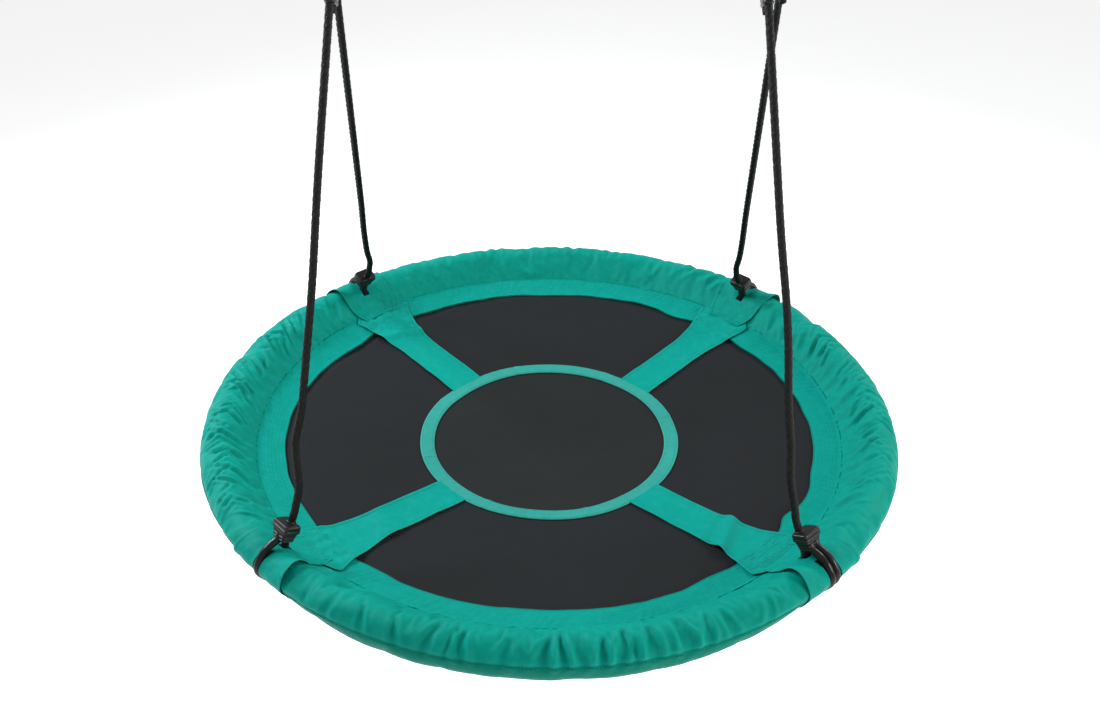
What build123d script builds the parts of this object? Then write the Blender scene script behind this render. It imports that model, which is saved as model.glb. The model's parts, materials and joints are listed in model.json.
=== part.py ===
from build123d import *
import os
import math

# Saucer nest swing: a padded round rim on a steel ring of four tubes, a sagging fabric mat carried
# by four webbing straps, and four ropes that meet in pairs at two hang rings with spring hooks.
# Millimetres.  +Z up, +X towards the right hang point, +Y away from the front edge.  Pieces are
# drawn about the centre of the steel ring, in its plane, and lifted by BASE_Z on saving, so the
# origin is on the ring's axis, level with the lowest point of the mat.

# ---- shared dimensions --------------------------------------------------------------------
OUTER_D = 1100.0          # overall diameter over the padded rim
BAND_R = 29.6             # outer radius of the corner bands round the tube axis
RIM_R = OUTER_D / 2 - BAND_R   # radius of the steel ring's centreline
COVER_R = 28.2            # outer radius of the rim cover round the tube axis
COVER_T = 0.9
SEAM_R, SEAM_Z = 463.0, -12.0  # inner seam of the rim cover
MAT_T = 2.4
MAT_MID_Z = -55.0         # mat top at the centre, its lowest
BASE_Z = MAT_T - MAT_MID_Z     # height of the steel ring's plane above the mat's lowest point
ROPE_R = 4.5

# azimuth of each corner, and start azimuth of each quarter
CORNERS = {"front_right": -45, "back_right": 45, "back_left": 135, "front_left": 225}
SIDES = {"right": -45, "back": 45, "left": 135, "front": 225}
DOUBLE_CORNER = "front_right"  # here the rope takes two turns round the rim

os.makedirs("parts", exist_ok=True)


# ---- helpers ------------------------------------------------------------------------------
def save(shape, name):
    shape = shape.moved(Location((0, 0, BASE_Z)))
    shape.label = name
    export_step(shape, "parts/%s.step" % name)


def save_quarters(shape, prefix):
    for name, azimuth in SIDES.items():
        save(Rot(0, 0, azimuth) * shape, prefix + name)


def at(x, z):
    """Point in the XZ plane."""
    return Vector(x, 0, z)


def polygon(points):
    corners = [at(*point) for point in points]
    return Face(Wire([Line(a, b) for a, b in zip(corners, corners[1:] + corners[:1])]))


def ribbon(line, rise):
    """Section between a line of (x, z) points and the same line raised by rise."""
    return polygon(line + [(x, z + rise) for x, z in reversed(line)])


def spin(face, start, arc):
    """Body of revolution about Z from azimuth start through arc degrees."""
    return Rot(0, 0, start) * revolve(face, Axis.Z, revolution_arc=arc)


def quarter(face, gap):
    """Quarter turn that stops gap degrees short of the corner at each end."""
    return spin(face, gap, 90 - 2 * gap)


def annulus(outer, inner):
    """Ring-shaped section round the tube axis."""
    plane = Plane(origin=(RIM_R, 0, 0), x_dir=(1, 0, 0), z_dir=(0, -1, 0))
    return plane * Circle(outer) - plane * Circle(inner)


def teardrop(radius):
    """Section of the rim cover: a circle about the tube with two tangents to the inner seam."""
    scale = radius / COVER_R
    tip_x, tip_z = (SEAM_R - RIM_R) * scale, SEAM_Z * scale
    to_tip = math.atan2(tip_z, tip_x)
    spread = math.acos(radius / math.hypot(tip_x, tip_z))

    def on_circle(angle):
        return at(RIM_R + radius * math.cos(angle), radius * math.sin(angle))

    start, end = on_circle(to_tip - spread), on_circle(to_tip + spread)
    tip = at(RIM_R + tip_x, tip_z)
    return Face(Wire([Line(tip, start),
                      ThreePointArc(start, on_circle(to_tip + math.pi), end),
                      Line(end, tip)]))


def block(x_range, y_range, z_range):
    ranges = (x_range, y_range, z_range)
    return Pos(*[(a + b) / 2 for a, b in ranges]) * Box(*[b - a for a, b in ranges])


def rod(path, outer, inner=0.0):
    plane = Plane(origin=path @ 0, z_dir=path % 0)
    section = plane * Circle(outer)
    if inner:
        section = section - plane * Circle(inner)
    return sweep(section, path=path)


def grooved_block(size_x, size_y, z_range, corner_r, grooves, groove_w, groove_depth):
    """Upright block with rounded corners and grooves round it at the given heights."""
    low, high = z_range
    body = Pos(0, 0, (low + high) / 2) * Box(size_x, size_y, high - low)
    body = fillet(body.edges().filter_by(Axis.Z), corner_r)
    core_x, core_y = size_x - 2 * groove_depth, size_y - 2 * groove_depth
    for z in grooves:
        collar = Box(size_x + 4, size_y + 4, groove_w) - Box(core_x, core_y, groove_w)
        body = body - Pos(0, 0, z) * collar
    return body


# ---- steel ring: four swaged quarter tubes ------------------------------------------------
TUBE_R = 12.5
TUBE_WALL = 1.5
TUBE_DEG = 89.95
SHOULDER_DEG = 0.35       # thick step that joins the tube to its swaged end
SHOULDER_INSET = 0.3
SPIGOT_R = 10.8           # swaged end, slides into the next tube
SPIGOT_DEG = 4.4
SCREW_DEG = 2.6
HOLE_R, HOLE_L, HOLE_Z = 2.6, 6, -10.5
SHANK_R, SHANK_L, SHANK_Z = 2.4, 5.6, -10.4
HEAD_R, HEAD_H, HEAD_Z = 4.5, 2.6, -14.3
HEX_R, HEX_H, HEX_Z = 1.6, 1.2, -15.4


def frame_tube():
    swage_at = TUBE_DEG - SHOULDER_DEG
    spigot_bore = SPIGOT_R - TUBE_WALL
    tube = spin(annulus(TUBE_R, TUBE_R - TUBE_WALL), 0, TUBE_DEG)
    tube += spin(annulus(SPIGOT_R, spigot_bore), swage_at, 90 - swage_at + SPIGOT_DEG)
    tube += spin(annulus(TUBE_R - SHOULDER_INSET, spigot_bore), swage_at, SHOULDER_DEG)
    hole = Rot(0, 0, SCREW_DEG) * Pos(RIM_R, 0, HOLE_Z) * Cylinder(HOLE_R, HOLE_L)
    return tube - hole - Rot(0, 0, 90) * hole


def joint_screws():
    """Screws from below; each head has a hexagonal cavity inside it."""
    screw = Pos(RIM_R, 0, SHANK_Z) * Cylinder(SHANK_R, SHANK_L)
    screw = screw + Pos(RIM_R, 0, HEAD_Z) * Cylinder(HEAD_R, HEAD_H)
    screw = screw - Pos(RIM_R, 0, HEX_Z) * extrude(RegularPolygon(HEX_R, 6), HEX_H)
    return Compound(children=[Rot(0, 0, azimuth + SCREW_DEG) * screw
                              for azimuth in SIDES.values()])


save_quarters(frame_tube(), "frame_tube_")
save(joint_screws(), "frame_joint_screws")

# ---- foam and fabric of the rim -----------------------------------------------------------
FOAM_R = 27.0
FOAM_BORE_R = 12.9
FOAM_GAP_DEG = 4.4        # foam stops this far from each corner
COVER_GAP_DEG = 2.2       # and so does the rim cover
HEM_GAP_DEG = 0.08
HEM_T = 2.4               # stitched border on the inside of the rim cover
HEM_IN_R, HEM_IN_Z = 423.2, -22.6
HEM_OUT_R, HEM_OUT_Z = 467.0, SEAM_Z - 0.9
BAND_T = 0.9              # corner band fabric thickness
BAND_HALF_DEG = 6.05      # corner band covers about 110 mm of the rim
BAND_INNER_X = 472.0
BAND_CLEAR_X = 430        # inner limit of the cuts that open the band
BAND_END_DEG = -100       # the band ends at this angle round the tube, just past its underside
BAND_END_REACH = 90
BAND_SEAM_SLOPE = 12.0 / 58.0
# rope slots through the band: x range, z range
OUTER_SLOT = (RIM_R + 4, 560), (-40, 0.4)
INNER_SLOT = (474, 499), (0, 32)
SLOT_HALF, DOUBLE_SLOT_HALF = 6.5, 12.0


def rim_cover():
    cover = quarter(teardrop(COVER_R) - teardrop(COVER_R - COVER_T), COVER_GAP_DEG)
    hem = ribbon([(HEM_IN_R, HEM_IN_Z - HEM_T / 2), (HEM_OUT_R, HEM_OUT_Z - HEM_T / 2)], HEM_T)
    return cover + quarter(hem, HEM_GAP_DEG)


def corner_band(slot_half):
    """Wraps over the rim from near the inner seam to below the tube, with two rope slots."""
    end = math.radians(BAND_END_DEG)
    section = teardrop(BAND_R) - teardrop(BAND_R - BAND_T)
    section = section - polygon([
        (RIM_R, 0),
        (RIM_R + BAND_END_REACH * math.cos(end), BAND_END_REACH * math.sin(end)),
        (BAND_CLEAR_X, -90),
        (BAND_CLEAR_X, -(RIM_R - BAND_CLEAR_X) * BAND_SEAM_SLOPE)])
    section = section - polygon([(BAND_CLEAR_X, -60), (BAND_INNER_X, -60),
                                 (BAND_INNER_X, 40), (BAND_CLEAR_X, 40)])
    band = spin(section, -BAND_HALF_DEG, 2 * BAND_HALF_DEG)
    for x_range, z_range in (OUTER_SLOT, INNER_SLOT):
        band = band - block(x_range, (-slot_half, slot_half), z_range)
    return band


save_quarters(quarter(annulus(FOAM_R, FOAM_BORE_R), FOAM_GAP_DEG), "foam_sleeve_")
save_quarters(rim_cover(), "rim_cover_")

# ---- mat ----------------------------------------------------------------------------------
MAT_OUT_R, MAT_OUT_Z = 422.5, -22.0
CENTRE_R = 200.0          # joint between the centre disc and the four sectors
CENTRE_GAP = 0.2          # each side of that joint
MAT_IN_Z = -47.8          # mat top at that joint
SECTOR_GAP_DEG = 0.05
DISH_RADII = (0.0, 30, 60, 90, 120, 150, 175)
DISH_POWER = 1.7
BIND_T = 2.2
BIND_LINE = [(188.0, MAT_IN_Z + 0.35), (211.5, -46.0)]   # underside (x, z)
STRAP_T = 2.0
STRAP_LINE = [(212.5, -45.9), (422.0, -21.1), (461.0, -11.7)]   # underside (x, z)
STRAP_W, STRAP_FLARE = 63.5, 84.0
# edge of the strap in plan: x, half width; its ends lie beyond the strap's section
STRAP_EDGE = [(200, STRAP_W / 2), (404, STRAP_W / 2),
              (438, STRAP_FLARE / 2), (470, STRAP_FLARE / 2)]


def mat_centre():
    top = [(r, MAT_MID_Z + (MAT_IN_Z - MAT_MID_Z) * (r / CENTRE_R) ** DISH_POWER)
           for r in DISH_RADII]
    top.append((CENTRE_R - CENTRE_GAP, MAT_IN_Z))
    return spin(ribbon(top, -MAT_T), 0, 360)


def mat_strap():
    """Slice of a revolved ribbon, cut to the strap's outline in plan."""
    outline = Polyline(*[(x, -y) for x, y in STRAP_EDGE], *reversed(STRAP_EDGE), close=True)
    swept = spin(ribbon(STRAP_LINE, STRAP_T), -11, 22)
    return swept & extrude(Pos(0, 0, -80) * make_face(outline), 100)


mat_section = ribbon([(CENTRE_R + CENTRE_GAP, MAT_IN_Z), (MAT_OUT_R, MAT_OUT_Z)], -MAT_T)
save_quarters(quarter(mat_section, SECTOR_GAP_DEG), "mat_sector_")
save(mat_centre(), "mat_centre")
save(spin(ribbon(BIND_LINE, BIND_T), 0, 360), "centre_binding")

# ---- rope loop and lower clamp at each corner -----------------------------------------------
# Drawn at azimuth 0.  "Up" is distance from the tube axis along the clamp axis.
GUARD_OUTER_R, GUARD_BORE_R = 5.3, 4.75
LOOP_R = 35.5             # rope centreline over the crown of the rim
LOOP_LOW = 20.0           # rope centreline below the tube axis, and its lower bend radius
LOOP_TILT = 27.0          # clamp axis leans inward from vertical, degrees
STRAND = 5.5              # half the distance between the two strands in the clamp
TURN_R = 6.5              # small bend where a strand leaves the clamp
TURN_UP = math.sqrt((LOOP_R + TURN_R) ** 2 - (STRAND + TURN_R) ** 2)
PIVOT_UP = 84.0           # where the rope leg hinges above the clamp
PIVOT_GAP = 2.2
INNER_TOP = PIVOT_UP - PIVOT_GAP
OUTER_TOP = 61.0
CROSS_TOP = 52.0          # where the two turns of the double loop meet
CROSS_UP, CROSS_H = 54.0, 6
TURN_OFFSET = GUARD_OUTER_R + 0.25   # each turn of the double loop from the corner's plane
CLAMP_LOW, CLAMP_SPLIT, CLAMP_HIGH = 41.6, 56.5, 66.6
CLAMP_GAP = 0.15          # between clamp and cap
CLAMP_X, CLAMP_Y = 24.0, 33.0
BODY_GROOVES, CAP_GROOVES = (46.5, 51.5), (60.2,)
CLAMP_FIT = 0.4
LEAN_COS = math.cos(math.radians(LOOP_TILT))
LEAN_SIN = math.sin(math.radians(LOOP_TILT))


def on_clamp(out, up):
    """(x, z) of a point up along the clamp axis and out from it, in the radial plane."""
    return RIM_R + out * LEAN_COS - up * LEAN_SIN, out * LEAN_SIN + up * LEAN_COS


def clamp_plane(up):
    """Plane across the clamp axis: x outward, y along the rim, z up the axis."""
    x, z = on_clamp(0, up)
    return Plane(origin=(x, 0, z), x_dir=(LEAN_COS, 0, LEAN_SIN), z_dir=(-LEAN_SIN, 0, LEAN_COS))


def arc(x, z, radius, start, end):
    """Arc about (x, z) between two angles in degrees."""
    angles = [math.radians(a) for a in (start, (start + end) / 2, end)]
    return ThreePointArc(*[at(x + radius * math.cos(a), z + radius * math.sin(a))
                           for a in angles])


def loop_path(inner_top=None, outer_top=None):
    """Centreline from the top of the inner strand, round the tube, to the top of the outer."""
    turn = math.degrees(math.atan2(STRAND + TURN_R, TURN_UP))
    axis = 90 + LOOP_TILT
    bend_x = LOOP_R - LOOP_LOW
    edges = []
    if inner_top is not None:
        edges.append(Line(at(*on_clamp(-STRAND, inner_top)), at(*on_clamp(-STRAND, TURN_UP))))
    edges += [
        arc(*on_clamp(-(STRAND + TURN_R), TURN_UP), TURN_R, axis - 90, axis - 180 + turn),
        arc(RIM_R, 0, LOOP_R, axis + turn, 180),
        arc(RIM_R - bend_x, 0, LOOP_LOW, 180, 270),
        Line(at(RIM_R - bend_x, -LOOP_LOW), at(RIM_R + bend_x, -LOOP_LOW)),
        arc(RIM_R + bend_x, 0, LOOP_LOW, -90, 0),
        arc(RIM_R, 0, LOOP_R, 0, axis - turn),
        arc(*on_clamp(STRAND + TURN_R, TURN_UP), TURN_R, axis + 180 - turn, axis + 90),
    ]
    if outer_top is not None:
        edges.append(Line(at(*on_clamp(STRAND, TURN_UP)), at(*on_clamp(STRAND, outer_top))))
    return Wire(edges)


def double_loop():
    """Two turns side by side, joined by a block inside the clamp."""
    first = rod(loop_path(INNER_TOP, CROSS_TOP), ROPE_R)
    second = rod(loop_path(CROSS_TOP, OUTER_TOP), ROPE_R)
    rope = Pos(0, -TURN_OFFSET, 0) * first + Pos(0, TURN_OFFSET, 0) * second
    return rope + clamp_plane(CROSS_UP) * Box(2 * STRAND, 2 * TURN_OFFSET, CROSS_H)


def clamp_piece(low, high, grooves, bore_half_y):
    piece = grooved_block(CLAMP_X, CLAMP_Y, (low, high), corner_r=5.0,
                          grooves=grooves, groove_w=1.8, groove_depth=1.1)
    bore = Box(2 * (STRAND + ROPE_R + CLAMP_FIT), 2 * bore_half_y, high - low + 2)
    return clamp_plane(0) * (piece - Pos(0, 0, (low + high) / 2) * bore)


def save_corner(name, azimuth):
    place = Rot(0, 0, azimuth)
    guard = rod(loop_path(), GUARD_OUTER_R, GUARD_BORE_R)
    bore_half_y = ROPE_R + CLAMP_FIT
    if name == DOUBLE_CORNER:
        slot_half = DOUBLE_SLOT_HALF
        rope = double_loop()
        bore_half_y += TURN_OFFSET
        guards = Compound(children=[place * Pos(0, y, 0) * guard
                                    for y in (-TURN_OFFSET, TURN_OFFSET)])
    else:
        slot_half = SLOT_HALF
        rope = rod(loop_path(INNER_TOP, OUTER_TOP), ROPE_R)
        guards = place * guard
    body = clamp_piece(CLAMP_LOW, CLAMP_SPLIT, BODY_GROOVES, bore_half_y)
    cap = clamp_piece(CLAMP_SPLIT + CLAMP_GAP, CLAMP_HIGH, CAP_GROOVES, bore_half_y)
    save(place * corner_band(slot_half), "corner_band_" + name)
    save(place * mat_strap(), "mat_strap_" + name)
    save(place * rope, "rope_loop_" + name)
    save(guards, "rope_guard_" + name)
    save(place * body, "lower_clamp_" + name)
    save(place * cap, "lower_clamp_cap_" + name)


for corner, corner_azimuth in CORNERS.items():
    save_corner(corner, corner_azimuth)

# ---- rope legs up to the hang rings -------------------------------------------------------
HANG_X = 283.0            # half the distance between the two hang rings
RING_R, RING_BAR = 32.0, 4.0   # centreline radius, bar radius
RING_Z = 740.0 + RING_R   # ring centre above the centre of its bottom bar
PAIR = {"left": 5.2, "right": 17.0}     # half spacing of the two rope loops on a ring
# clearance between rope and ring bar
TOP_GAP = {"front_left": 1.4, "back_left": 1.2, "front_right": 8.0, "back_right": 5.0}
TOP_LOOP_R = 11.0
TAIL_END = 95.0           # free end of the rope, down the leg from the bar
UPPER_AT, UPPER_L, UPPER_W, UPPER_T = 73.0, 27.0, 37.0, 16.0
UPPER_FIT = 0.2


def save_leg(name, azimuth):
    """Rope from the lower clamp's pivot over the ring's bar and back down, with its clamp."""
    front = "front" in name
    hand, sign = ("right", 1) if "right" in name else ("left", -1)
    offset_y = -TURN_OFFSET if name == DOUBLE_CORNER else 0.0
    pivot_x, pivot_z = on_clamp(-STRAND, PIVOT_UP)
    pivot = Vector(pivot_x, offset_y, pivot_z).rotate(Axis.Z, azimuth)
    half_pair = PAIR[hand]
    bar_x = HANG_X + (-half_pair if front else half_pair)   # front rope nearer the middle
    bar = Vector(sign * bar_x, 0, RING_Z - math.sqrt(RING_R ** 2 - half_pair ** 2))

    # tilt the loop's axis so that its outer strand runs straight to the pivot
    to_pivot = pivot - bar
    length = to_pivot.length
    to_pivot = to_pivot.normalized()
    away = Vector(0, -1 if front else 1, 0)
    square = (away - to_pivot * away.dot(to_pivot)).normalized()
    tilt_sin = TOP_LOOP_R / length
    tilt_cos = math.sqrt(1 - tilt_sin * tilt_sin)
    down = to_pivot * tilt_cos - square * tilt_sin
    across = to_pivot * tilt_sin + square * tilt_cos

    half_loop = across * TOP_LOOP_R
    centre = bar + down * (TOP_LOOP_R - (RING_BAR + ROPE_R + TOP_GAP[name]))
    foot = bar + half_loop + down * (length * tilt_cos - PIVOT_GAP)
    path = Wire([
        Line(foot, centre + half_loop),
        ThreePointArc(centre + half_loop, centre - down * TOP_LOOP_R, centre - half_loop),
        Line(centre - half_loop, bar - half_loop + down * TAIL_END)])
    save(rod(path, ROPE_R), "rope_" + name)

    clamp = grooved_block(UPPER_W, UPPER_T, (-UPPER_L / 2, UPPER_L / 2), corner_r=3.5,
                          grooves=(-8, 0, 8), groove_w=2, groove_depth=1)
    for x in (-TOP_LOOP_R, TOP_LOOP_R):
        clamp = clamp - Pos(x, 0, 0) * Cylinder(ROPE_R + UPPER_FIT, UPPER_L + 2)
    plane = Plane(origin=bar + down * UPPER_AT, x_dir=across, z_dir=down)
    save(plane * clamp, "upper_clamp_" + name)


for corner, corner_azimuth in CORNERS.items():
    save_leg(corner, corner_azimuth)

# ---- hang rings, spring hooks -------------------------------------------------------------
# Hooks are drawn at x = 0 in the YZ plane, with the gate on the front (-Y) side.
HOOK_BAR, HOOK_R, HOOK_STRAIGHT = 4.0, 13.0, 44.0
HOOK_GAP = 0.3            # hook bar to the top of the ring's hole
HOOK_LOW = RING_Z + RING_R - RING_BAR - HOOK_BAR - HOOK_GAP + HOOK_R   # start of the straight
HOOK_HIGH = HOOK_LOW + HOOK_STRAIGHT
GATE_R = 3.5
GATE_LOW, GATE_HIGH = HOOK_LOW + 4.0, HOOK_HIGH - 1.6
GATE_BORE_R, GATE_BORE_L = 2.1, 13.0
PIN_R, PIN_L, PIN_FIT = 1.2, 6.8, 0.05
PIN_PLANE = Plane(origin=(0, -HOOK_R, HOOK_LOW + 6.0), z_dir=(1, 0, 0))
PIN_HOLE_L = 12
COIL_R, COIL_PITCH, COIL_H, WIRE_R = 1.45, 1.6, 9.6, 0.35


def on_gate(z):
    return Pos(0, -HOOK_R, z)


def spring_hook():
    def point(y, z):
        return Vector(0, y, z)

    front_high, back_high = point(-HOOK_R, HOOK_HIGH), point(HOOK_R, HOOK_HIGH)
    front_low, back_low = point(-HOOK_R, HOOK_LOW), point(HOOK_R, HOOK_LOW)
    path = Wire([Line(point(-HOOK_R, HOOK_HIGH - 1.0), front_high),
                 ThreePointArc(front_high, point(0, HOOK_HIGH + HOOK_R), back_high),
                 Line(back_high, back_low),
                 ThreePointArc(back_low, point(0, HOOK_LOW - HOOK_R), front_low),
                 Line(front_low, point(-HOOK_R, HOOK_LOW + 2.0))])
    hinge_tab = on_gate(HOOK_LOW + 4.6) * Box(2.8, 5.6, 7.0)
    hook = rod(path, HOOK_BAR) + hinge_tab
    hook = hook - PIN_PLANE * Cylinder(PIN_R + PIN_FIT, PIN_HOLE_L)
    nose_notch = block((-1.5, 1.5), (-HOOK_R - 2.1, -HOOK_R + 6), (HOOK_HIGH - 3, HOOK_HIGH + 1))
    return hook - nose_notch


def hook_gate():
    gate = on_gate((GATE_LOW + GATE_HIGH) / 2) * Cylinder(GATE_R, GATE_HIGH - GATE_LOW)
    hinge_slot = on_gate(HOOK_LOW + 6.5) * Box(3.4, 12, 8.6)
    gate = gate - hinge_slot
    gate = gate - PIN_PLANE * Cylinder(PIN_R + PIN_FIT, PIN_HOLE_L)
    gate = gate - on_gate(HOOK_LOW + 17.0) * Cylinder(GATE_BORE_R, GATE_BORE_L)
    tongue = on_gate(GATE_HIGH + 0.8) * Box(2.4, 3.2, 2.0)
    return gate + tongue


def gate_spring():
    coil = Helix(pitch=COIL_PITCH, height=COIL_H, radius=COIL_R)
    section = Plane(origin=coil @ 0, z_dir=coil % 0) * Circle(WIRE_R)
    return on_gate(HOOK_LOW + 12.2) * sweep(section, path=coil, is_frenet=True)


hang_pieces = {
    "hang_ring_": Pos(0, 0, RING_Z) * Rot(90, 0, 0) * Torus(RING_R, RING_BAR),
    "spring_hook_": spring_hook(),
    "hook_gate_": hook_gate(),
    "gate_spring_": gate_spring(),
}
for hand_name, hang_x in (("left", -HANG_X), ("right", HANG_X)):
    for prefix, piece in hang_pieces.items():
        save(Pos(hang_x, 0, 0) * piece, prefix + hand_name)
pin = PIN_PLANE * Cylinder(PIN_R, PIN_L)
save(Compound(children=[Pos(x, 0, 0) * pin for x in (-HANG_X, HANG_X)]), "gate_pins")
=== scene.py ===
# Round fabric swing seat hung on four braided ropes.
# Metres. The ring is centred on the Z axis, +X is right and -Y is front. All sizes are
# measured from the ring's plane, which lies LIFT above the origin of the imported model.
import json
import math
import bmesh
import bpy
import numpy as np
from mathutils import Matrix, Vector


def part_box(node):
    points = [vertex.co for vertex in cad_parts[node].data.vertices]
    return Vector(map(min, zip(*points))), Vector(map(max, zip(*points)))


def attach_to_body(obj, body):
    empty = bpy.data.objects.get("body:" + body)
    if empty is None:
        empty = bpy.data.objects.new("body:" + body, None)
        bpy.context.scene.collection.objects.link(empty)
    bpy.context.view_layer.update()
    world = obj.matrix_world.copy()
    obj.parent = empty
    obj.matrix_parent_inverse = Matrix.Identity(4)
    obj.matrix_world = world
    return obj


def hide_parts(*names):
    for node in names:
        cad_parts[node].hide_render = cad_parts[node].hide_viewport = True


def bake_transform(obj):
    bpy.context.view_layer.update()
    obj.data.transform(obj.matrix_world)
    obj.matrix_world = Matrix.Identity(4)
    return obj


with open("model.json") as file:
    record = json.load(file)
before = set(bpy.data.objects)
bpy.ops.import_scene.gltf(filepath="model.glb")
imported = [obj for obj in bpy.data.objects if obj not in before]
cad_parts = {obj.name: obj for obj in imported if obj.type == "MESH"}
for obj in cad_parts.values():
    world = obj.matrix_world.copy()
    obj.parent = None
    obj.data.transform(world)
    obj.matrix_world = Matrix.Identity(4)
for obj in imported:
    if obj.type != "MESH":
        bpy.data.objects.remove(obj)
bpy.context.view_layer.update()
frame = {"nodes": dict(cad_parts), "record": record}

scene = bpy.context.scene

# ------------------------------------------------------------------ main dimensions
MAT_DEPTH = 0.0574                  # ring's plane above the mat's lowest point
LIFT = float(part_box("mat_centre")[0][2]) + MAT_DEPTH
LIFT_VECTOR = Vector((0.0, 0.0, LIFT))
UPWARD = np.array([0.0, 0.0, 1.0])

RIM = 0.5204                        # steel ring radius
COVER_R = 0.0283                    # radius of the padded cover round the ring
TANGENT_R = 0.0282                  # radius that sets where the slopes meet the cover
SEAM_R, SEAM_Z = 0.463, -0.012      # inner seam, where the cover closes
SEAM_ANGLE = 17.0                   # outer seam, degrees above the equator
HEM_R = 0.4232                      # inner edge of the stitched border
MAT_R = 0.2                         # radius of the mat's centre panel

# azimuths in degrees
CORNERS = {"front_right": -45.0, "back_right": 45.0, "back_left": 135.0, "front_left": 225.0}
SIDES = {"right": -45.0, "back": 45.0, "left": 135.0, "front": 225.0}     # where each begins

# section angles, in degrees, where the slopes from the inner seam touch the round cover
_seam_angle = math.atan2(SEAM_Z, SEAM_R - RIM)
_spread = math.acos(TANGENT_R / math.hypot(SEAM_R - RIM, SEAM_Z))
UPPER_TANGENT = math.degrees(_seam_angle - _spread) % 360
LOWER_TANGENT = math.degrees(_seam_angle + _spread) % 360


# ------------------------------------------------------------------ shaping functions
def random_from(seed):
    return np.random.RandomState(int(seed) % 100003)


def ripple(position, seed, waves, low, high):
    """Smooth repeatable 1-D noise, about -1..1, with frequencies from low to high."""
    random = random_from(seed)
    total = np.zeros_like(np.asarray(position, float))
    for _ in range(waves):
        frequency = low + (high - low) * random.rand()
        wave = np.sin(2 * np.pi * frequency * position + 6.283 * random.rand())
        total = total + wave * (0.5 + random.rand())
    return total / waves * 1.1


def clouds(x, y, seed, scale, octaves):
    """Smooth repeatable 2-D noise from rotated sines, about -1..1."""
    random = random_from(seed)
    total = np.zeros_like(x)
    weight, weights = 1.0, 0.0
    frequency = 1.0 / scale
    for _ in range(octaves):
        layer = np.zeros_like(x)
        for _ in range(5):
            angle = 6.283 * random.rand()
            rate = frequency * (0.7 + 0.6 * random.rand())
            line = x * math.cos(angle) + y * math.sin(angle)
            layer += np.sin(6.283 * rate * line + 6.283 * random.rand())
        total += weight * layer / 2.6
        weights += weight
        weight *= 0.55
        frequency *= 1.9
    return total / weights


def smooth(value, low, high):
    """Smooth step from 0 at low to 1 at high."""
    ratio = np.clip((value - low) / (high - low), 0, 1)
    return ratio * ratio * (3 - 2 * ratio)


def bell(value, centre, width):
    return np.exp(-((value - centre) / width) ** 2)


def turn_from(angle, centre):
    """Signed angle from centre, in radians within half a turn."""
    return (angle - centre + np.pi) % (2 * np.pi) - np.pi


def stack_last(*parts):
    return np.stack(np.broadcast_arrays(*parts), -1)


def polar(radius, angle, height):
    return stack_last(radius * np.cos(angle), radius * np.sin(angle), height)


def pinch(degrees, distance):
    """Radius factor where the rope squeezes the padding's outer underside by a corner."""
    reach = smooth(-degrees, -35.0, 25.0) * (1 - smooth(-degrees, 100.0, 165.0))
    return 1 - 0.34 * reach * bell(distance, 0, 0.15)


def top_z(radius):
    """Height of the top fabric: mat, border, then the inner slope of the rim."""
    radius = np.asarray(radius, float)
    centre = -0.055 + 0.0072 * (np.clip(radius, 0, MAT_R) / MAT_R) ** 1.7
    outer = np.interp(radius, [MAT_R, 0.405, 0.4235, SEAM_R, 0.5089],
                      [-0.0478, -0.0240, -0.0214, -0.0116, 0.0269])
    return np.where(radius < MAT_R, centre, outer)


def mat_relief(x, y):
    """Tension lift along the four straps, and broad unevenness."""
    radius = np.hypot(x, y)
    tension = 0.0011 * np.cos(4 * np.arctan2(y, x)) * smooth(radius, 0.12, 0.38)
    return tension + 0.0011 * clouds(x, y, 31, 0.22, 3) * smooth(radius, 0.0, 0.1)


# ------------------------------------------------------------------ mesh helpers
def make_object(name, verts, faces, uv=None, material=None):
    """Smooth-shaded object from points measured from the ring's plane."""
    mesh = bpy.data.meshes.new(name)
    verts = np.array(verts, float)
    verts[:, 2] += LIFT
    mesh.from_pydata(verts.tolist(), [], [tuple(int(i) for i in face) for face in faces])
    mesh.update()
    if uv is not None:
        layer = mesh.uv_layers.new(name="UVMap")
        index = np.zeros(len(mesh.loops), dtype=np.int32)
        mesh.loops.foreach_get("vertex_index", index)
        layer.data.foreach_set("uv", np.asarray(uv, dtype=np.float32)[index].reshape(-1))
    mesh.polygons.foreach_set("use_smooth", np.ones(len(mesh.polygons), dtype=bool))
    made = bpy.data.objects.new(name, mesh)
    scene.collection.objects.link(made)
    if material is not None:
        mesh.materials.append(material)
    return made


def attach(made, slot, *replaced, ride="seat"):
    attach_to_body(made, ride)
    if replaced:
        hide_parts(*replaced)


def grid_faces(rows, columns, wrap_rows=False, wrap_columns=False, flip=False):
    faces = []
    for i in range(rows if wrap_rows else rows - 1):
        for j in range(columns if wrap_columns else columns - 1):
            near = i * columns
            far = (i + 1) % rows * columns
            after = (j + 1) % columns
            quad = (near + j, near + after, far + after, far + j)
            faces.append((quad[0], quad[3], quad[2], quad[1]) if flip else quad)
    return faces


def tube_faces(rings, around):
    """A tube whose ends fan to two extra points, which follow the rings' points."""
    faces = grid_faces(rings, around, wrap_columns=True, flip=True)
    first = rings * around
    last = (rings - 1) * around
    for j in range(around):
        after = (j + 1) % around
        faces.append((first, j, after))
        faces.append((first + 1, last + after, last + j))
    return faces


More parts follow.
